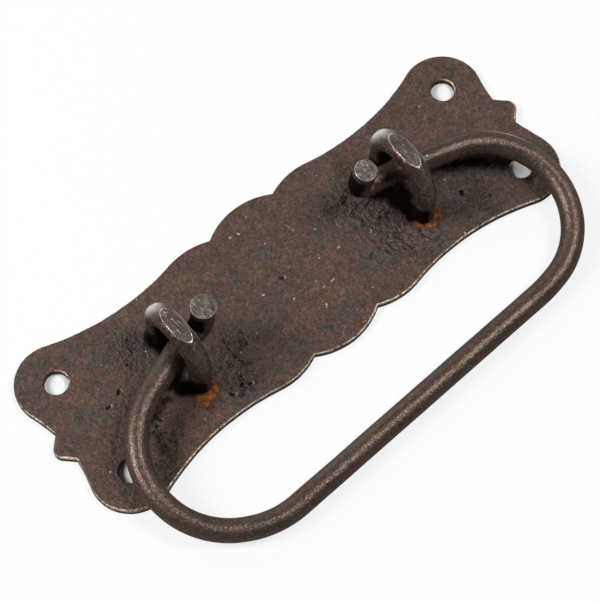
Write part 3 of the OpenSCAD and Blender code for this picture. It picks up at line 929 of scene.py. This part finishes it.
def bail_corners():
    """Corners of the bail's centre line in its own plane, and the radii of its bends."""
    corners, radii = [], []
    for name, h in BAIL_HALVES.items():
        side, half, ratio, eye = h["side"], h["half"], h["ratio"], abs(EYES[name][0])
        s, c = math.sin(math.radians(h["ease"])), math.cos(math.radians(h["ease"]))
        height = REACH - CORNER_FLAT * s - (half - eye) * tan(ARM) - h["passes"]
        r = height / (ratio * (1 - c) + c - tan(ARM) + 1 / math.cos(math.radians(ARM)))
        take = ratio * r * tan(h["ease"] / 2)
        first = half - r - (ratio - 1) * r * s - CORNER_FLAT * c + take
        between = take + CORNER_FLAT + r * tan((180 - ARM - h["ease"]) / 2)
        outer = (first + between * c, REACH - between * s)
        set_u = eye + BAIL_R / 4
        set_v = outer[1] - (outer[0] - set_u) * tan(ARM)
        foot_u = eye - h["end_in"]
        foot_v = set_v - (set_u - foot_u) * tan(h["end_angle"])
        foot = np.array((side * foot_u, foot_v, 0.0))
        tip = foot + END_H * np.array((tan(h["tilt"]), -tan(h["lean"]), 1.0))
        way = [tip, foot, (side * set_u, set_v, 0.0), (side * outer[0], outer[1], 0.0)]
        way.append((side * first, REACH, 0.0))
        bends = [0.0, END_R, SET_R, r, ratio * r]
        corners += way if side < 0 else way[::-1]
        radii += bends if side < 0 else bends[::-1]
    return [np.array(p, float) for p in corners], radii


def bail_path():
    """The bail's centre line in the lowered pose, with more rings where its end faces are worn."""
    corners, radii = bail_corners()
    u, v, w = bail_axes()
    placed = [np.array(PIVOT) + u * p[0] + v * p[1] + w * p[2] for p in corners]
    path = bent_path(placed, radii, BAIL_STEP)
    first, last = (
        [end[0] + (end[1] - end[0]) * s for s in END_STEPS] for end in (path[0:2], path[:-3:-1])
    )
    return np.concatenate([first, path[1:-1], last[::-1]])


def forge_bail(tree, finish):
    """The bail: one bar with two corners, two set arms and two turned ends with cut faces."""
    path = bail_path()
    steps = np.r_[0, np.cumsum(np.linalg.norm(np.diff(path, axis=0), axis=1))]
    from_left, from_right = steps, steps[-1] - steps
    burred = np.interp(from_left, [0, 0.1, 0.25, 0.9, 1.7], [1.02, 1.07, 1.09, 1.07, 1.0])
    filed = np.interp(from_right, [0, 0.12, 0.35, 0.8], [0.9, 0.955, 0.99, 1.0])
    mesh = forge_bar("handle_forged", tree, path, burred * filed, {
        "Bar Diameter": 2 * BAIL_R * MM, "Sides": BAIL_SIDES, "Finish": finish, **BAIL_DENTS,
    })
    rings = rings_of(mesh, BAIL_SIDES)
    put_rings(mesh, rings)
    post = np.minimum(from_left, from_right)
    # painted shade with black oxide on the turned ends and on the arms inside the eyes, kept off the lit
    # side
    soot_and_shade = 0.85 * ramp(post, 0.8, 3.3) * ramp(post, 15.5, 11.5) + 0.5 * hump(post, 20, 4)
    away_from_light = np.clip(0.75 - 1.1 * facing(rings, LIT_SIDE_WAY), 0, 1)
    # a painted highlight line along one side of the bend near the right end
    highlight_line = ramp(facing(rings, HIGHLIGHT_WAY), 0.86, 0.94)
    highlight_reach = hump(from_right, HIGHLIGHT_AT, 9, power=4)
    rims = np.maximum(hump(from_left, 0, 0.3), hump(from_right, 0, 0.35))
    rust = 0.8 * hump(from_right, RUSTY_AT, 2.5)
    carry(mesh, {
        "rubbed": np.repeat(rims, BAIL_SIDES),
        "flat": np.repeat(post < 0.05, BAIL_SIDES),
        "soot_and_shade": np.clip(soot_and_shade, 0, 1)[:, None] * away_from_light,
        "polish_and_highlight": highlight_reach[:, None] * highlight_line,
        "rust": np.repeat(rust, BAIL_SIDES),
    })
    close_ends(mesh, BAIL_SIDES, len(path))
    return finished("handle_forged", mesh, BAIL_SHARP)


# Wiring of nodes and the effects made with it

class Wiring:
    """Adds nodes to one tree and joins them as they are added."""

    def __init__(self, tree):
        self.tree = tree

    def put(self, socket, value):
        """Joins another node's output to a socket, or sets a plain value there."""
        if isinstance(value, bpy.types.NodeSocket):
            self.tree.links.new(value, socket)
        else:
            socket.default_value = value

    def add(self, kind, given=None, **settings):
        """A new node with these settings and inputs."""
        node = self.tree.nodes.new(kind)
        for name, value in settings.items():
            setattr(node, name, value)
        for name, value in (given or {}).items():
            self.put(node.inputs[name], value)
        return node

    def math(self, operation, a, b=0.0, clamp=False):
        node = self.add("ShaderNodeMath", operation=operation, use_clamp=clamp)
        self.put(node.inputs[0], a)
        if len(node.inputs) > 1:
            self.put(node.inputs[1], b)
        return node.outputs[0]

    def times(self, a, b, clamp=False):
        return self.math("MULTIPLY", a, b, clamp)

    def plus(self, a, b):
        return self.math("ADD", a, b)

    def minus(self, a, b):
        return self.math("SUBTRACT", a, b)

    def over(self, a, b):
        return self.math("DIVIDE", a, b)

    def most(self, first, *others):
        """The highest of two or more values."""
        for other in others:
            first = self.math("MAXIMUM", first, other)
        return first

    def vector(self, operation, a, b=None, scale=None):
        node = self.add("ShaderNodeVectorMath", operation=operation)
        self.put(node.inputs[0], a)
        if b is not None:
            self.put(node.inputs[1], b)
        if scale is not None:
            self.put(node.inputs["Scale"], scale)
        return node.outputs[0]

    def store(self, geometry, name, value, kind="FLOAT"):
        """The geometry with one more named attribute on its points."""
        node = self.add("GeometryNodeStoreNamedAttribute", data_type=kind, domain="POINT")
        self.put(node.inputs["Geometry"], geometry)
        self.put(node.inputs["Name"], name)
        self.put(node.inputs["Value"], value)
        return node.outputs[0]

    def read(self, name, kind):
        node = self.add("GeometryNodeInputNamedAttribute", data_type=kind)
        self.put(node.inputs["Name"], name)
        return node.outputs["Attribute"]

    def noise(self, place, size, detail=4.0, rough=0.55, twist=0.0, seed=0.0):
        """Noise with features of about this size, in metres."""
        node = self.add("ShaderNodeTexNoise", {
            "Vector": place, "W": seed, "Scale": 1.0, "Detail": detail, "Roughness": rough,
            "Distortion": twist,
        }, noise_dimensions="4D")
        if isinstance(size, bpy.types.NodeSocket):
            self.put(node.inputs["Scale"], self.over(1.0, size))
        else:
            node.inputs["Scale"].default_value = 1.0 / size
        return node.outputs["Fac"]

    def between(self, value, low, high, out_low=0.0, out_high=1.0, smooth=True):
        """Goes from out_low to out_high as the value goes from low to high."""
        node = self.add("ShaderNodeMapRange")
        node.interpolation_type = "SMOOTHSTEP" if smooth else "LINEAR"
        for name, v in zip(("Value", "From Min", "From Max", "To Min", "To Max"),
                           (value, low, high, out_low, out_high)):
            self.put(node.inputs[name], v)
        return node.outputs["Result"]

    def mix(self, share, a, b, blend="MIX"):
        """Colour b over colour a, as far as the share says."""
        node = self.add("ShaderNodeMix", data_type="RGBA", blend_type=blend)
        self.put(node.inputs[0], share)
        self.put(node.inputs[6], a)
        self.put(node.inputs[7], b)
        return node.outputs[2]

    def share(self, share, a, b):
        """The same for two plain values."""
        node = self.add("ShaderNodeMix", data_type="FLOAT")
        self.put(node.inputs[0], share)
        self.put(node.inputs[2], a)
        self.put(node.inputs[3], b)
        return node.outputs[0]


def srgb(r, g, b):
    """A colour as seen on screen, 0 to 255, for a colour socket."""
    c = [v / 255 for v in (r, g, b)]
    return (*(v / 12.92 if v <= 0.04045 else ((v + 0.055) / 1.055) ** 2.4 for v in c), 1.0)


def effect(name, inputs, outputs):
    """A shader group with these sockets. Gives the group, its wiring, its inputs and its output."""
    group = bpy.data.node_groups.new(name, "ShaderNodeTree")
    for label, kind, value in inputs:
        socket = group.interface.new_socket(
            label, in_out="INPUT", socket_type="NodeSocket" + kind)
        if value is not None:
            socket.default_value = value
    for label, kind in outputs:
        group.interface.new_socket(label, in_out="OUTPUT", socket_type="NodeSocket" + kind)
    w = Wiring(group)
    return group, w, w.add("NodeGroupInput").outputs, w.add("NodeGroupOutput").inputs


def patina_mottle():
    """Brown oxide with warm, cool and olive clouds and a fine light and dark grain."""
    group, w, given, out = effect("patina_mottle", [
        ("Place", "Vector", None), ("Cloud Size", "Float", 0.004), ("Body", "Color", None),
        ("Warm", "Color", None), ("Cool", "Color", None), ("Olive", "Color", None),
        ("Warm Share", "Float", 0.5), ("Cool Share", "Float", 0.5), ("Olive Share", "Float", 0.4),
        ("Warm Zone", "Float", 0.0), ("Cool Zone", "Float", 0.0), ("Olive Zone", "Float", 0.0),
        ("Grain Size", "Float", 0.0007), ("Contrast", "Float", 0.5),
    ], [("Color", "Color"), ("Height", "Float")])
    place = given["Place"]
    colour = given["Body"]
    for label, seed, size in (("Olive", 4.0, 0.8), ("Warm", 1.0, 1.0), ("Cool", 7.0, 1.2)):
        cloud_size = w.times(given["Cloud Size"], size)
        cloud = w.noise(place, cloud_size, detail=6.0, rough=0.72, twist=0.4, seed=seed)
        cloud = w.plus(cloud, w.times(given[label + " Zone"], 0.2))
        mask = w.between(cloud, 0.52, 0.68)
        colour = w.mix(w.times(mask, given[label + " Share"], clamp=True), colour, given[label])
    broad = w.noise(place, w.times(given["Cloud Size"], 1.6), rough=0.6, twist=0.6, seed=21.0)
    light = w.between(broad, 0.3, 0.7, out_low=0.84, out_high=1.16, smooth=False)
    layers = []
    for size, share, seed in ((2.6, 0.9, 2.0), (1.0, 1.9, 9.0), (0.45, 2.4, 17.0)):
        layer = w.noise(place, w.times(given["Grain Size"], size), detail=2.0, rough=0.6, seed=seed)
        swing = w.times(w.minus(layer, 0.5), w.times(given["Contrast"], share))
        light = w.times(light, w.plus(1.0, swing))
        layers.append(layer)
    light = w.most(light, 0.2)
    tint = w.noise(place, w.times(given["Grain Size"], 2.2), detail=3.0, rough=0.7, seed=13.0)
    tinted = w.mix(w.between(tint, 0.35, 0.65), (0.95, 1.0, 1.03, 1.0), (1.1, 0.99, 0.9, 1.0))
    colour = w.mix(1.0, colour, tinted, "MULTIPLY")
    w.put(out["Color"], w.vector("SCALE", colour, scale=light))
    w.put(out["Height"], w.plus(w.times(layers[0], 0.45), w.times(layers[1], 0.55)))
    return group


def edge_wear():
    """Bare metal along rubbed edges, broken by grain. Rubbed is 1 on the edge itself."""
    group, w, given, out = effect("edge_wear", [
        ("Rubbed", "Float", 0.0), ("Place", "Vector", None), ("Break Size", "Float", 0.002),
        ("Amount", "Float", 0.5),
    ], [("Mask", "Float")])
    long = w.noise(given["Place"], given["Break Size"], detail=3.0, rough=0.6, seed=3.0)
    short_size = w.times(given["Break Size"], 0.17)
    short = w.noise(given["Place"], short_size, detail=2.0, rough=0.6, seed=6.0)
    broken = w.plus(w.times(long, 0.4), w.times(short, 0.6))
    need = w.minus(0.78, w.times(given["Amount"], 0.6))
    mask = w.between(broken, need, w.plus(need, 0.12))
    w.put(out["Mask"], w.times(mask, w.between(given["Rubbed"], 0.35, 0.9)))
    return group


def rust_pits():
    """Small rust pits, scattered, more of them where Etched is high, and the ridges left there."""
    group, w, given, out = effect("rust_pits", [
        ("Place", "Vector", None), ("Spacing", "Float", 0.0016), ("Etched", "Float", 0.0),
        ("Share", "Float", 0.2),
    ], [("Mask", "Float"), ("Ridge", "Float"), ("Height", "Float")])
    place = given["Place"]
    hollow = w.noise(place, given["Spacing"], detail=3.0, twist=0.8, seed=4.0)
    worm_size = w.times(given["Spacing"], 0.95)
    worm = w.noise(place, worm_size, detail=1.0, rough=0.4, twist=1.0, seed=12.0)
    raised = w.plus(w.times(hollow, 0.6), w.times(worm, 0.4))
    more = w.plus(w.times(given["Etched"], 0.13), w.times(given["Share"], 0.3))
    need = w.minus(0.70, more)
    mask = w.between(raised, need, w.plus(need, 0.06))
    w.put(out["Mask"], mask)
    w.put(out["Ridge"], w.times(w.between(worm, 0.46, 0.36), given["Etched"]))
    depth = w.plus(0.5, w.times(given["Etched"], 2.5))
    w.put(out["Height"], w.minus(1.0, w.plus(mask, w.times(worm, depth))))
    return group


def bright_flecks():
    """Pinpoint flecks of bare metal, in looser and denser crowds."""
    group, w, given, out = effect("bright_flecks", [
        ("Place", "Vector", None), ("Spacing", "Float", 0.002), ("Share", "Float", 0.1),
    ], [("Mask", "Float")])
    place = given["Place"]
    shaky = w.add("ShaderNodeTexNoise", {"Vector": place, "Scale": 2500.0, "Detail": 1.0})
    bend = w.vector("SUBTRACT", shaky.outputs["Color"], (0.5, 0.5, 0.5))
    bend = w.vector("SCALE", bend, scale=0.0006)
    cells = w.add("ShaderNodeTexVoronoi", {
        "Vector": w.vector("ADD", place, bend), "Scale": w.over(1.0, given["Spacing"]),
        "Randomness": 1.0,
    })
    parts = w.add("ShaderNodeSeparateColor", {"Color": cells.outputs["Color"]}).outputs
    crowd = w.noise(place, 0.008, detail=2.0, rough=0.6, seed=31.0)
    crowd = w.between(crowd, 0.42, 0.62, out_low=0.2, out_high=2.0)
    chosen = w.math("LESS_THAN", parts[0], w.times(given["Share"], crowd))
    size = w.plus(0.05, w.times(w.times(parts[1], parts[1]), 0.11))
    dot = w.math("LESS_THAN", cells.outputs["Distance"], size)
    w.put(out["Mask"], w.times(chosen, dot))
    return group


def rust_bloom():
    """Orange and brown rust where Zone is high, with a crusty outline."""
    group, w, given, out = effect("rust_bloom", [
        ("Zone", "Float", 0.0), ("Place", "Vector", None), ("Crust Size", "Float", 0.0022),
    ], [("Mask", "Float"), ("Color", "Color"), ("Height", "Float")])
    place = given["Place"]
    crust = w.noise(place, given["Crust Size"], detail=6.0, rough=0.7, twist=0.3, seed=5.0)
    spread = w.plus(given["Zone"], w.times(w.minus(crust, 0.5), 1.5))
    tone = w.noise(place, 0.0013, rough=0.7, seed=8.0)
    w.put(out["Mask"], w.between(spread, 0.42, 0.85))
    w.put(out["Color"], w.mix(w.between(tone, 0.35, 0.68), srgb(72, 36, 18), srgb(172, 96, 42)))
    w.put(out["Height"], crust)
    return group


SCALE_COVER = 0.55                  # how far scale hides the patina where rust has eaten
PIT_DARK = 0.75
RIDGE_LIGHT = 0.3
# how dark the painted shade on the plate's cut edges is
SIDE_SHADE = 0.6
# how far painted shade and black oxide cover the colour
SHADE_AND_SOOT_COVER = 0.93
FLECK_BARE = 0.8
CRUST_SIZE = 0.0022
BREAK_SIZE = 0.004                  # bits that edge wear is broken into
SCRATCH_SIZE = 0.0008
SCRATCH_PULL = (1.0, 0.3, 1.0)      # stretches the scratches on a cut face


def iron_finish(name, effects, tones, look):
    """Iron with patina, pits, flecks, rust and rubbed edges, for one piece."""
    material = bpy.data.materials.new(name)
    material.use_nodes = True
    material.node_tree.nodes.clear()
    w = Wiring(material.node_tree)
    shader = w.add("ShaderNodeBsdfPrincipled")
    w.add("ShaderNodeOutputMaterial", {"Surface": shader.outputs[0]})
    place = w.add("ShaderNodeTexCoord").outputs["Object"]
    is_bar = look["bar"]

    def painted(label, socket="Fac"):
        """What the mesh carries under this name."""
        return w.add("ShaderNodeAttribute", attribute_name=label).outputs[socket]

    def zone(label):
        """The same for what only the plate carries."""
        return 0.0 if is_bar else painted(label)

    def use(label, given):
        """The outputs of an effect with these inputs."""
        node = w.add("ShaderNodeGroup")
        node.node_tree = effects[label]
        for key, value in given.items():
            w.put(node.inputs[key], value)
        return node.outputs

    # patina, small pits, and the ridges between them
    grain_place = place
    if is_bar:
        grain_place = w.add("ShaderNodeMapping", {
            "Vector": painted("bar_place", "Vector"), "Scale": (1.0, 1.0, look["stretch"]),
        }).outputs[0]
    base = use("patina_mottle", {
        "Place": grain_place, "Cloud Size": look["cloud_size"], "Body": tones["body"],
        "Warm": tones["warm"], "Cool": tones["cool"], "Olive": tones["olive"],
        "Warm Share": look["warm"], "Cool Share": look["cool"], "Olive Share": look["olive"],
        "Warm Zone": zone("warm"), "Cool Zone": zone("cool"), "Olive Zone": zone("olive"),
        "Grain Size": look["grain_size"], "Contrast": look["contrast"],
    })
    etched = zone("etched")
    pits = use("rust_pits", {
        "Place": place, "Spacing": look["pit_spacing"], "Etched": etched, "Share": look["pit_share"],
    })
    colour = w.mix(w.times(etched, SCALE_COVER, clamp=True), base["Color"], tones["scale"])
    colour = w.mix(w.times(pits["Mask"], PIT_DARK), colour, tones["dark"])
    colour = w.mix(w.times(pits["Ridge"], RIDGE_LIGHT), colour, tones["ridge"])

    # orange rust, deep pits, painted shade on the plate's cut edges, and painted shade with black oxide
    rust = use("rust_bloom", {"Zone": painted("rust"), "Place": place, "Crust Size": CRUST_SIZE})
    colour = w.mix(rust["Mask"], colour, rust["Color"])
    colour = w.mix(w.between(zone("pitted"), 0.3, 0.75), colour, tones["soot_and_shade"])
    colour = w.mix(w.times(zone("side"), SIDE_SHADE), colour, tones["dark"])
    # painted shade with black oxide, broken by the rust's crust
    broken = w.times(w.minus(rust["Height"], 0.5), 0.8)
    soot_and_shade = w.between(w.plus(painted("soot_and_shade"), broken), 0.15, 0.75)
    colour = w.mix(w.times(soot_and_shade, SHADE_AND_SOOT_COVER), colour, tones["soot_and_shade"])

    # the bars' sawn and hammered faces
    worked = 0.0
    if is_bar:
        worked = w.between(painted("flat"), 0.2, 0.65)
        scratch_place = w.vector("MULTIPLY", place, SCRATCH_PULL)
        scratch = w.noise(scratch_place, SCRATCH_SIZE, detail=3.0, rough=0.7, twist=1.5, seed=4.0)
        cut = w.mix(w.between(scratch, 0.42, 0.56), tones["cut_dark"], tones["cut"])
        cut = w.mix(w.between(scratch, 0.58, 0.66), cut, tones["bare"])
        colour = w.mix(worked, colour, cut)

    # bare metal: flecks, rubbed edges with painted highlights on the plate's near edges, marks with
    # painted highlights on the pits' lips, and the bars' streaks and polish with painted highlights
    fleck_share = w.plus(look["fleck_share"], w.times(zone("near_edge"), 0.5))
    flecks = use("bright_flecks", {
        "Place": place, "Spacing": look["fleck_spacing"], "Share": fleck_share,
    })
    wear = use("edge_wear", {
        "Rubbed": painted("rubbed"), "Place": place, "Break Size": BREAK_SIZE, "Amount": look["wear"],
    })
    marks_and_highlights = w.between(zone("mark"), 0.3, 0.9)
    bare = w.most(w.times(flecks["Mask"], FLECK_BARE), wear["Mask"], marks_and_highlights)
    if is_bar:
        polish_and_highlight = painted("polish_and_highlight")
        lines = w.noise(grain_place, look["streak_size"], rough=0.65, seed=11.0)
        streaks = w.times(w.between(lines, 0.52, 0.72), look["streaks"])
        polished = w.times(polish_and_highlight, w.between(lines, 0.25, 0.55, out_low=0.45))
        bare = w.times(w.most(bare, streaks, polished), w.minus(1.0, worked))
        # painted highlight: near-white where the polish is strongest
        painted_shine = w.times(w.times(polish_and_highlight, polish_and_highlight), w.between(lines, 0.2, 0.5, out_low=0.5))
    bare = w.times(bare, w.minus(1.0, w.times(soot_and_shade, 0.8)))
    colour = w.mix(bare, colour, tones["bare"])
    metal = w.share(bare, look["metal"], look["metal_bare"])
    if is_bar:
        colour = w.mix(painted_shine, colour, tones["bright"])
        metal = w.share(painted_shine, metal, look["metal_bright"])
    metal = w.share(w.most(rust["Mask"], soot_and_shade, worked), metal, look["metal_dull"])
    w.put(shader.inputs["Base Color"], colour)
    w.put(shader.inputs["Metallic"], w.most(metal, soot_and_shade))

    # roughness and relief
    hollow_rough, top_rough = look["rough"] + 0.08, look["rough"] - 0.08
    rough = w.between(base["Height"], 0.3, 0.7, hollow_rough, top_rough, smooth=False)
    rough = w.share(etched, rough, look["rough"] - 0.14)
    rough = w.share(w.most(rust["Mask"], soot_and_shade), rough, look["rough_rust"])
    rough = w.share(bare, rough, look["rough_bare"])
    height = w.times(base["Height"], look["grain_depth"])
    height = w.plus(height, w.times(pits["Height"], look["pit_depth"]))
    height = w.plus(height, w.times(w.times(rust["Mask"], rust["Height"]), look["rust_depth"]))
    if is_bar:
        rough = w.share(worked, rough, look["rough_cut"])
        height = w.times(height, w.share(worked, 1.0, look["cut_depth"]))
    bump = w.add("ShaderNodeBump", {"Height": height, "Strength": 1.0, "Distance": look["bump"]})
    w.put(shader.inputs["Roughness"], rough)
    w.put(shader.inputs["Normal"], bump.outputs[0])
    return material


# Floor, light and camera

FLOOR_HALF = 2.5
FLOOR_DROP = 0.0001                 # below the surface that the plate's back lies in
COVERED = (0.0715, 0.0205)          # half sides of the floor under the plate, which stays in shade
FLOOR_GLOW = 0.78                   # share of the open floor's white that it gives itself
LAMPS = {                           # place, side and strength
    "left_box": ((-0.918, 0.530, 1.061), 0.6, 18.0),
    "right_box": ((0.599, -0.451, 1.299), 0.5, 11.5),
    "back_panel": ((0.32, 1.38, 0.30), 1.5, 8.5),
    "side_card": ((1.45, 0.25, 0.30), 1.2, 3.5),
}
CAMERA_AT = (-0.14072, -0.18222, 0.49147)
CAMERA_RIGHT = (0.76481, -0.64406, -0.01620)
CAMERA_UP = (0.59184, 0.69242, 0.41266)
CAMERA_BACK = (-0.25456, -0.32519, 0.91074)
LENS = 122.0


def pale_floor():
    """A white floor that keeps the object's shadow and shows white to the camera."""
    mesh = bpy.data.meshes.new("floor")
    bm = bmesh.new()
    bmesh.ops.create_grid(bm, x_segments=1, y_segments=1, size=FLOOR_HALF)
    bm.to_mesh(mesh)
    bm.free()
    mesh.transform(Matrix.Translation((0, 0, -FLOOR_DROP)))
    floor = bpy.data.objects.new("floor", mesh)
    bpy.context.scene.collection.objects.link(floor)
    material = bpy.data.materials.new("pale_floor")
    material.use_nodes = True
    material.node_tree.nodes.clear()
    w = Wiring(material.node_tree)
    rays = w.add("ShaderNodeLightPath").outputs
    tone = w.mix(rays["Is Glossy Ray"], (0.9, 0.9, 0.9, 1), (0.3, 0.3, 0.3, 1))
    paint = w.add("ShaderNodeBsdfDiffuse", {"Color": tone})
    glow = w.add("ShaderNodeEmission", {"Color": (1, 1, 1, 1), "Strength": 1.0})
    at = w.add("ShaderNodeSeparateXYZ", {0: w.add("ShaderNodeTexCoord").outputs["Object"]}).outputs
    open_x = w.math("GREATER_THAN", w.math("ABSOLUTE", at[0]), COVERED[0])
    open_y = w.math("GREATER_THAN", w.math("ABSOLUTE", at[1]), COVERED[1])
    open_floor = w.most(open_x, open_y)
    blend = w.add("ShaderNodeMixShader")
    glow_share = w.times(w.times(rays["Is Camera Ray"], open_floor), FLOOR_GLOW)
    w.put(blend.inputs[0], glow_share)
    w.put(blend.inputs[1], paint.outputs[0])
    w.put(blend.inputs[2], glow.outputs[0])
    w.add("ShaderNodeOutputMaterial", {"Surface": blend.outputs[0]})
    mesh.materials.append(material)


def soft_lamp(name, place, size, strength):
    """A square lamp that faces the middle of the object."""
    lamp = bpy.data.lights.new(name, "AREA")
    lamp.shape = "SQUARE"
    lamp.size = size
    lamp.energy = strength
    obj = bpy.data.objects.new(name, lamp)
    bpy.context.scene.collection.objects.link(obj)
    obj.location = place
    obj.rotation_euler = (-Vector(place)).to_track_quat("-Z", "Y").to_euler()


def studio():
    """Lamps, a dim surround that is white to the camera, and the colour settings."""
    for name, (place, size, strength) in LAMPS.items():
        soft_lamp(name, place, size, strength)
    world = bpy.data.worlds.new("surround")
    world.use_nodes = True
    world.node_tree.nodes.clear()
    w = Wiring(world.node_tree)
    rays = w.add("ShaderNodeLightPath").outputs
    strength = w.share(rays["Is Camera Ray"], 0.02, 1.0)
    air = w.add("ShaderNodeBackground", {"Color": (1, 1, 1, 1), "Strength": strength})
    w.add("ShaderNodeOutputWorld", {"Surface": air.outputs[0]})
    scene = bpy.context.scene
    scene.world = world
    scene.view_settings.view_transform = "Standard"


def camera():
    """The camera, at the place and turn that the screw holes and cusps give."""
    lens = bpy.data.cameras.new("camera")
    lens.sensor_width = 36.0
    lens.lens = LENS
    lens.clip_start = 0.01
    lens.clip_end = 20.0
    obj = bpy.data.objects.new("camera", lens)
    bpy.context.scene.collection.objects.link(obj)
    turn = Matrix((CAMERA_RIGHT, CAMERA_UP, CAMERA_BACK)).transposed()
    obj.matrix_world = Matrix.Translation(CAMERA_AT) @ turn.to_4x4()
    bpy.context.scene.camera = obj


# Finishes and assembly

EFFECTS = {
    "patina_mottle": patina_mottle(),
    "edge_wear": edge_wear(),
    "rust_pits": rust_pits(),
    "bright_flecks": bright_flecks(),
    "rust_bloom": rust_bloom(),
}
# the blackest tone serves deep pits, oxide and painted shade
PLATE_TONES = {
    "body": srgb(76, 57, 47), "warm": srgb(94, 60, 45), "cool": srgb(60, 54, 53),
    "olive": srgb(90, 72, 44), "scale": srgb(52, 41, 36), "dark": srgb(24, 18, 14),
    "bare": srgb(205, 188, 170), "ridge": srgb(130, 112, 97), "soot_and_shade": srgb(15, 11, 8),
}
PLATE_LOOK = {                      # sizes in metres
    "bar": False, "cloud_size": 0.0035, "warm": 0.45, "cool": 0.6, "olive": 0.5,
    "grain_size": 0.0008, "contrast": 1.3, "pit_spacing": 0.0014, "pit_share": 0.1,
    "fleck_spacing": 0.0021, "fleck_share": 0.10, "wear": 0.64,
    "metal": 0.1, "metal_bare": 0.8, "metal_dull": 0.1,
    "rough": 0.58, "rough_bare": 0.38, "rough_rust": 0.85,
    "pit_depth": 1.0, "grain_depth": 1.8, "rust_depth": 2.0, "bump": 0.0004,
}
# bright is the near-white of the bars' painted highlights
BAR_TONES = {
    "body": srgb(88, 72, 62), "warm": srgb(100, 72, 57), "cool": srgb(82, 76, 75),
    "olive": srgb(88, 77, 62), "scale": srgb(60, 50, 47), "dark": srgb(34, 26, 22),
    "bare": srgb(190, 180, 172), "ridge": srgb(140, 124, 110), "soot_and_shade": srgb(18, 13, 10),
    "cut": srgb(108, 95, 86), "cut_dark": srgb(60, 51, 45), "bright": srgb(232, 226, 220),
}
BAIL_LOOK = {
    "bar": True, "stretch": 0.75, "cloud_size": 0.004, "warm": 0.5, "cool": 0.5, "olive": 0.3,
    "grain_size": 0.0006, "contrast": 0.85, "pit_spacing": 0.0012, "pit_share": 0.1,
    "fleck_spacing": 0.0018, "fleck_share": 0.09, "wear": 0.9,
    "streaks": 0.28, "streak_size": 0.0004,
    "metal": 0.6, "metal_bare": 0.7, "metal_bright": 0.4, "metal_dull": 0.1,
    "rough": 0.4, "rough_bare": 0.3, "rough_rust": 0.85, "rough_cut": 0.4,
    "pit_depth": 0.7, "grain_depth": 0.8, "rust_depth": 2.0, "cut_depth": 0.8, "bump": 0.0003,
}
EYE_TONES = dict(
    BAR_TONES, body=srgb(88, 70, 58), warm=srgb(102, 68, 48), cool=srgb(78, 73, 72),
    cut=srgb(89, 76, 68), cut_dark=srgb(64, 53, 47),
)
EYE_LOOK = dict(
    BAIL_LOOK, stretch=0.8, cool=0.3, streaks=0.2, metal=0.7, rough=0.34, grain_size=0.0009,
    contrast=1.7, fleck_share=0.16, grain_depth=1.5, bump=0.0004, rough_cut=0.5, cut_depth=0.35,
)

plate_iron = iron_finish("plate_iron_patina", EFFECTS, PLATE_TONES, PLATE_LOOK)
bail_iron = iron_finish("bail_iron_patina", EFFECTS, BAR_TONES, BAIL_LOOK)
eye_iron = iron_finish("eye_iron_patina", EFFECTS, EYE_TONES, EYE_LOOK)

bar_tree = forged_bar_tree()

plate = forge_plate()
plate.data.materials.append(plate_iron)
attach(plate, "base")
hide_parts("back_plate")

for eye_name in EYES:
    eye = forge_eye(eye_name, bar_tree, eye_iron)
    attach(eye, "base")
    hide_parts(eye_name)

bail = forge_bail(bar_tree, bail_iron)
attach(bail, "bail")
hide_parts("handle")

pale_floor()
studio()
camera()
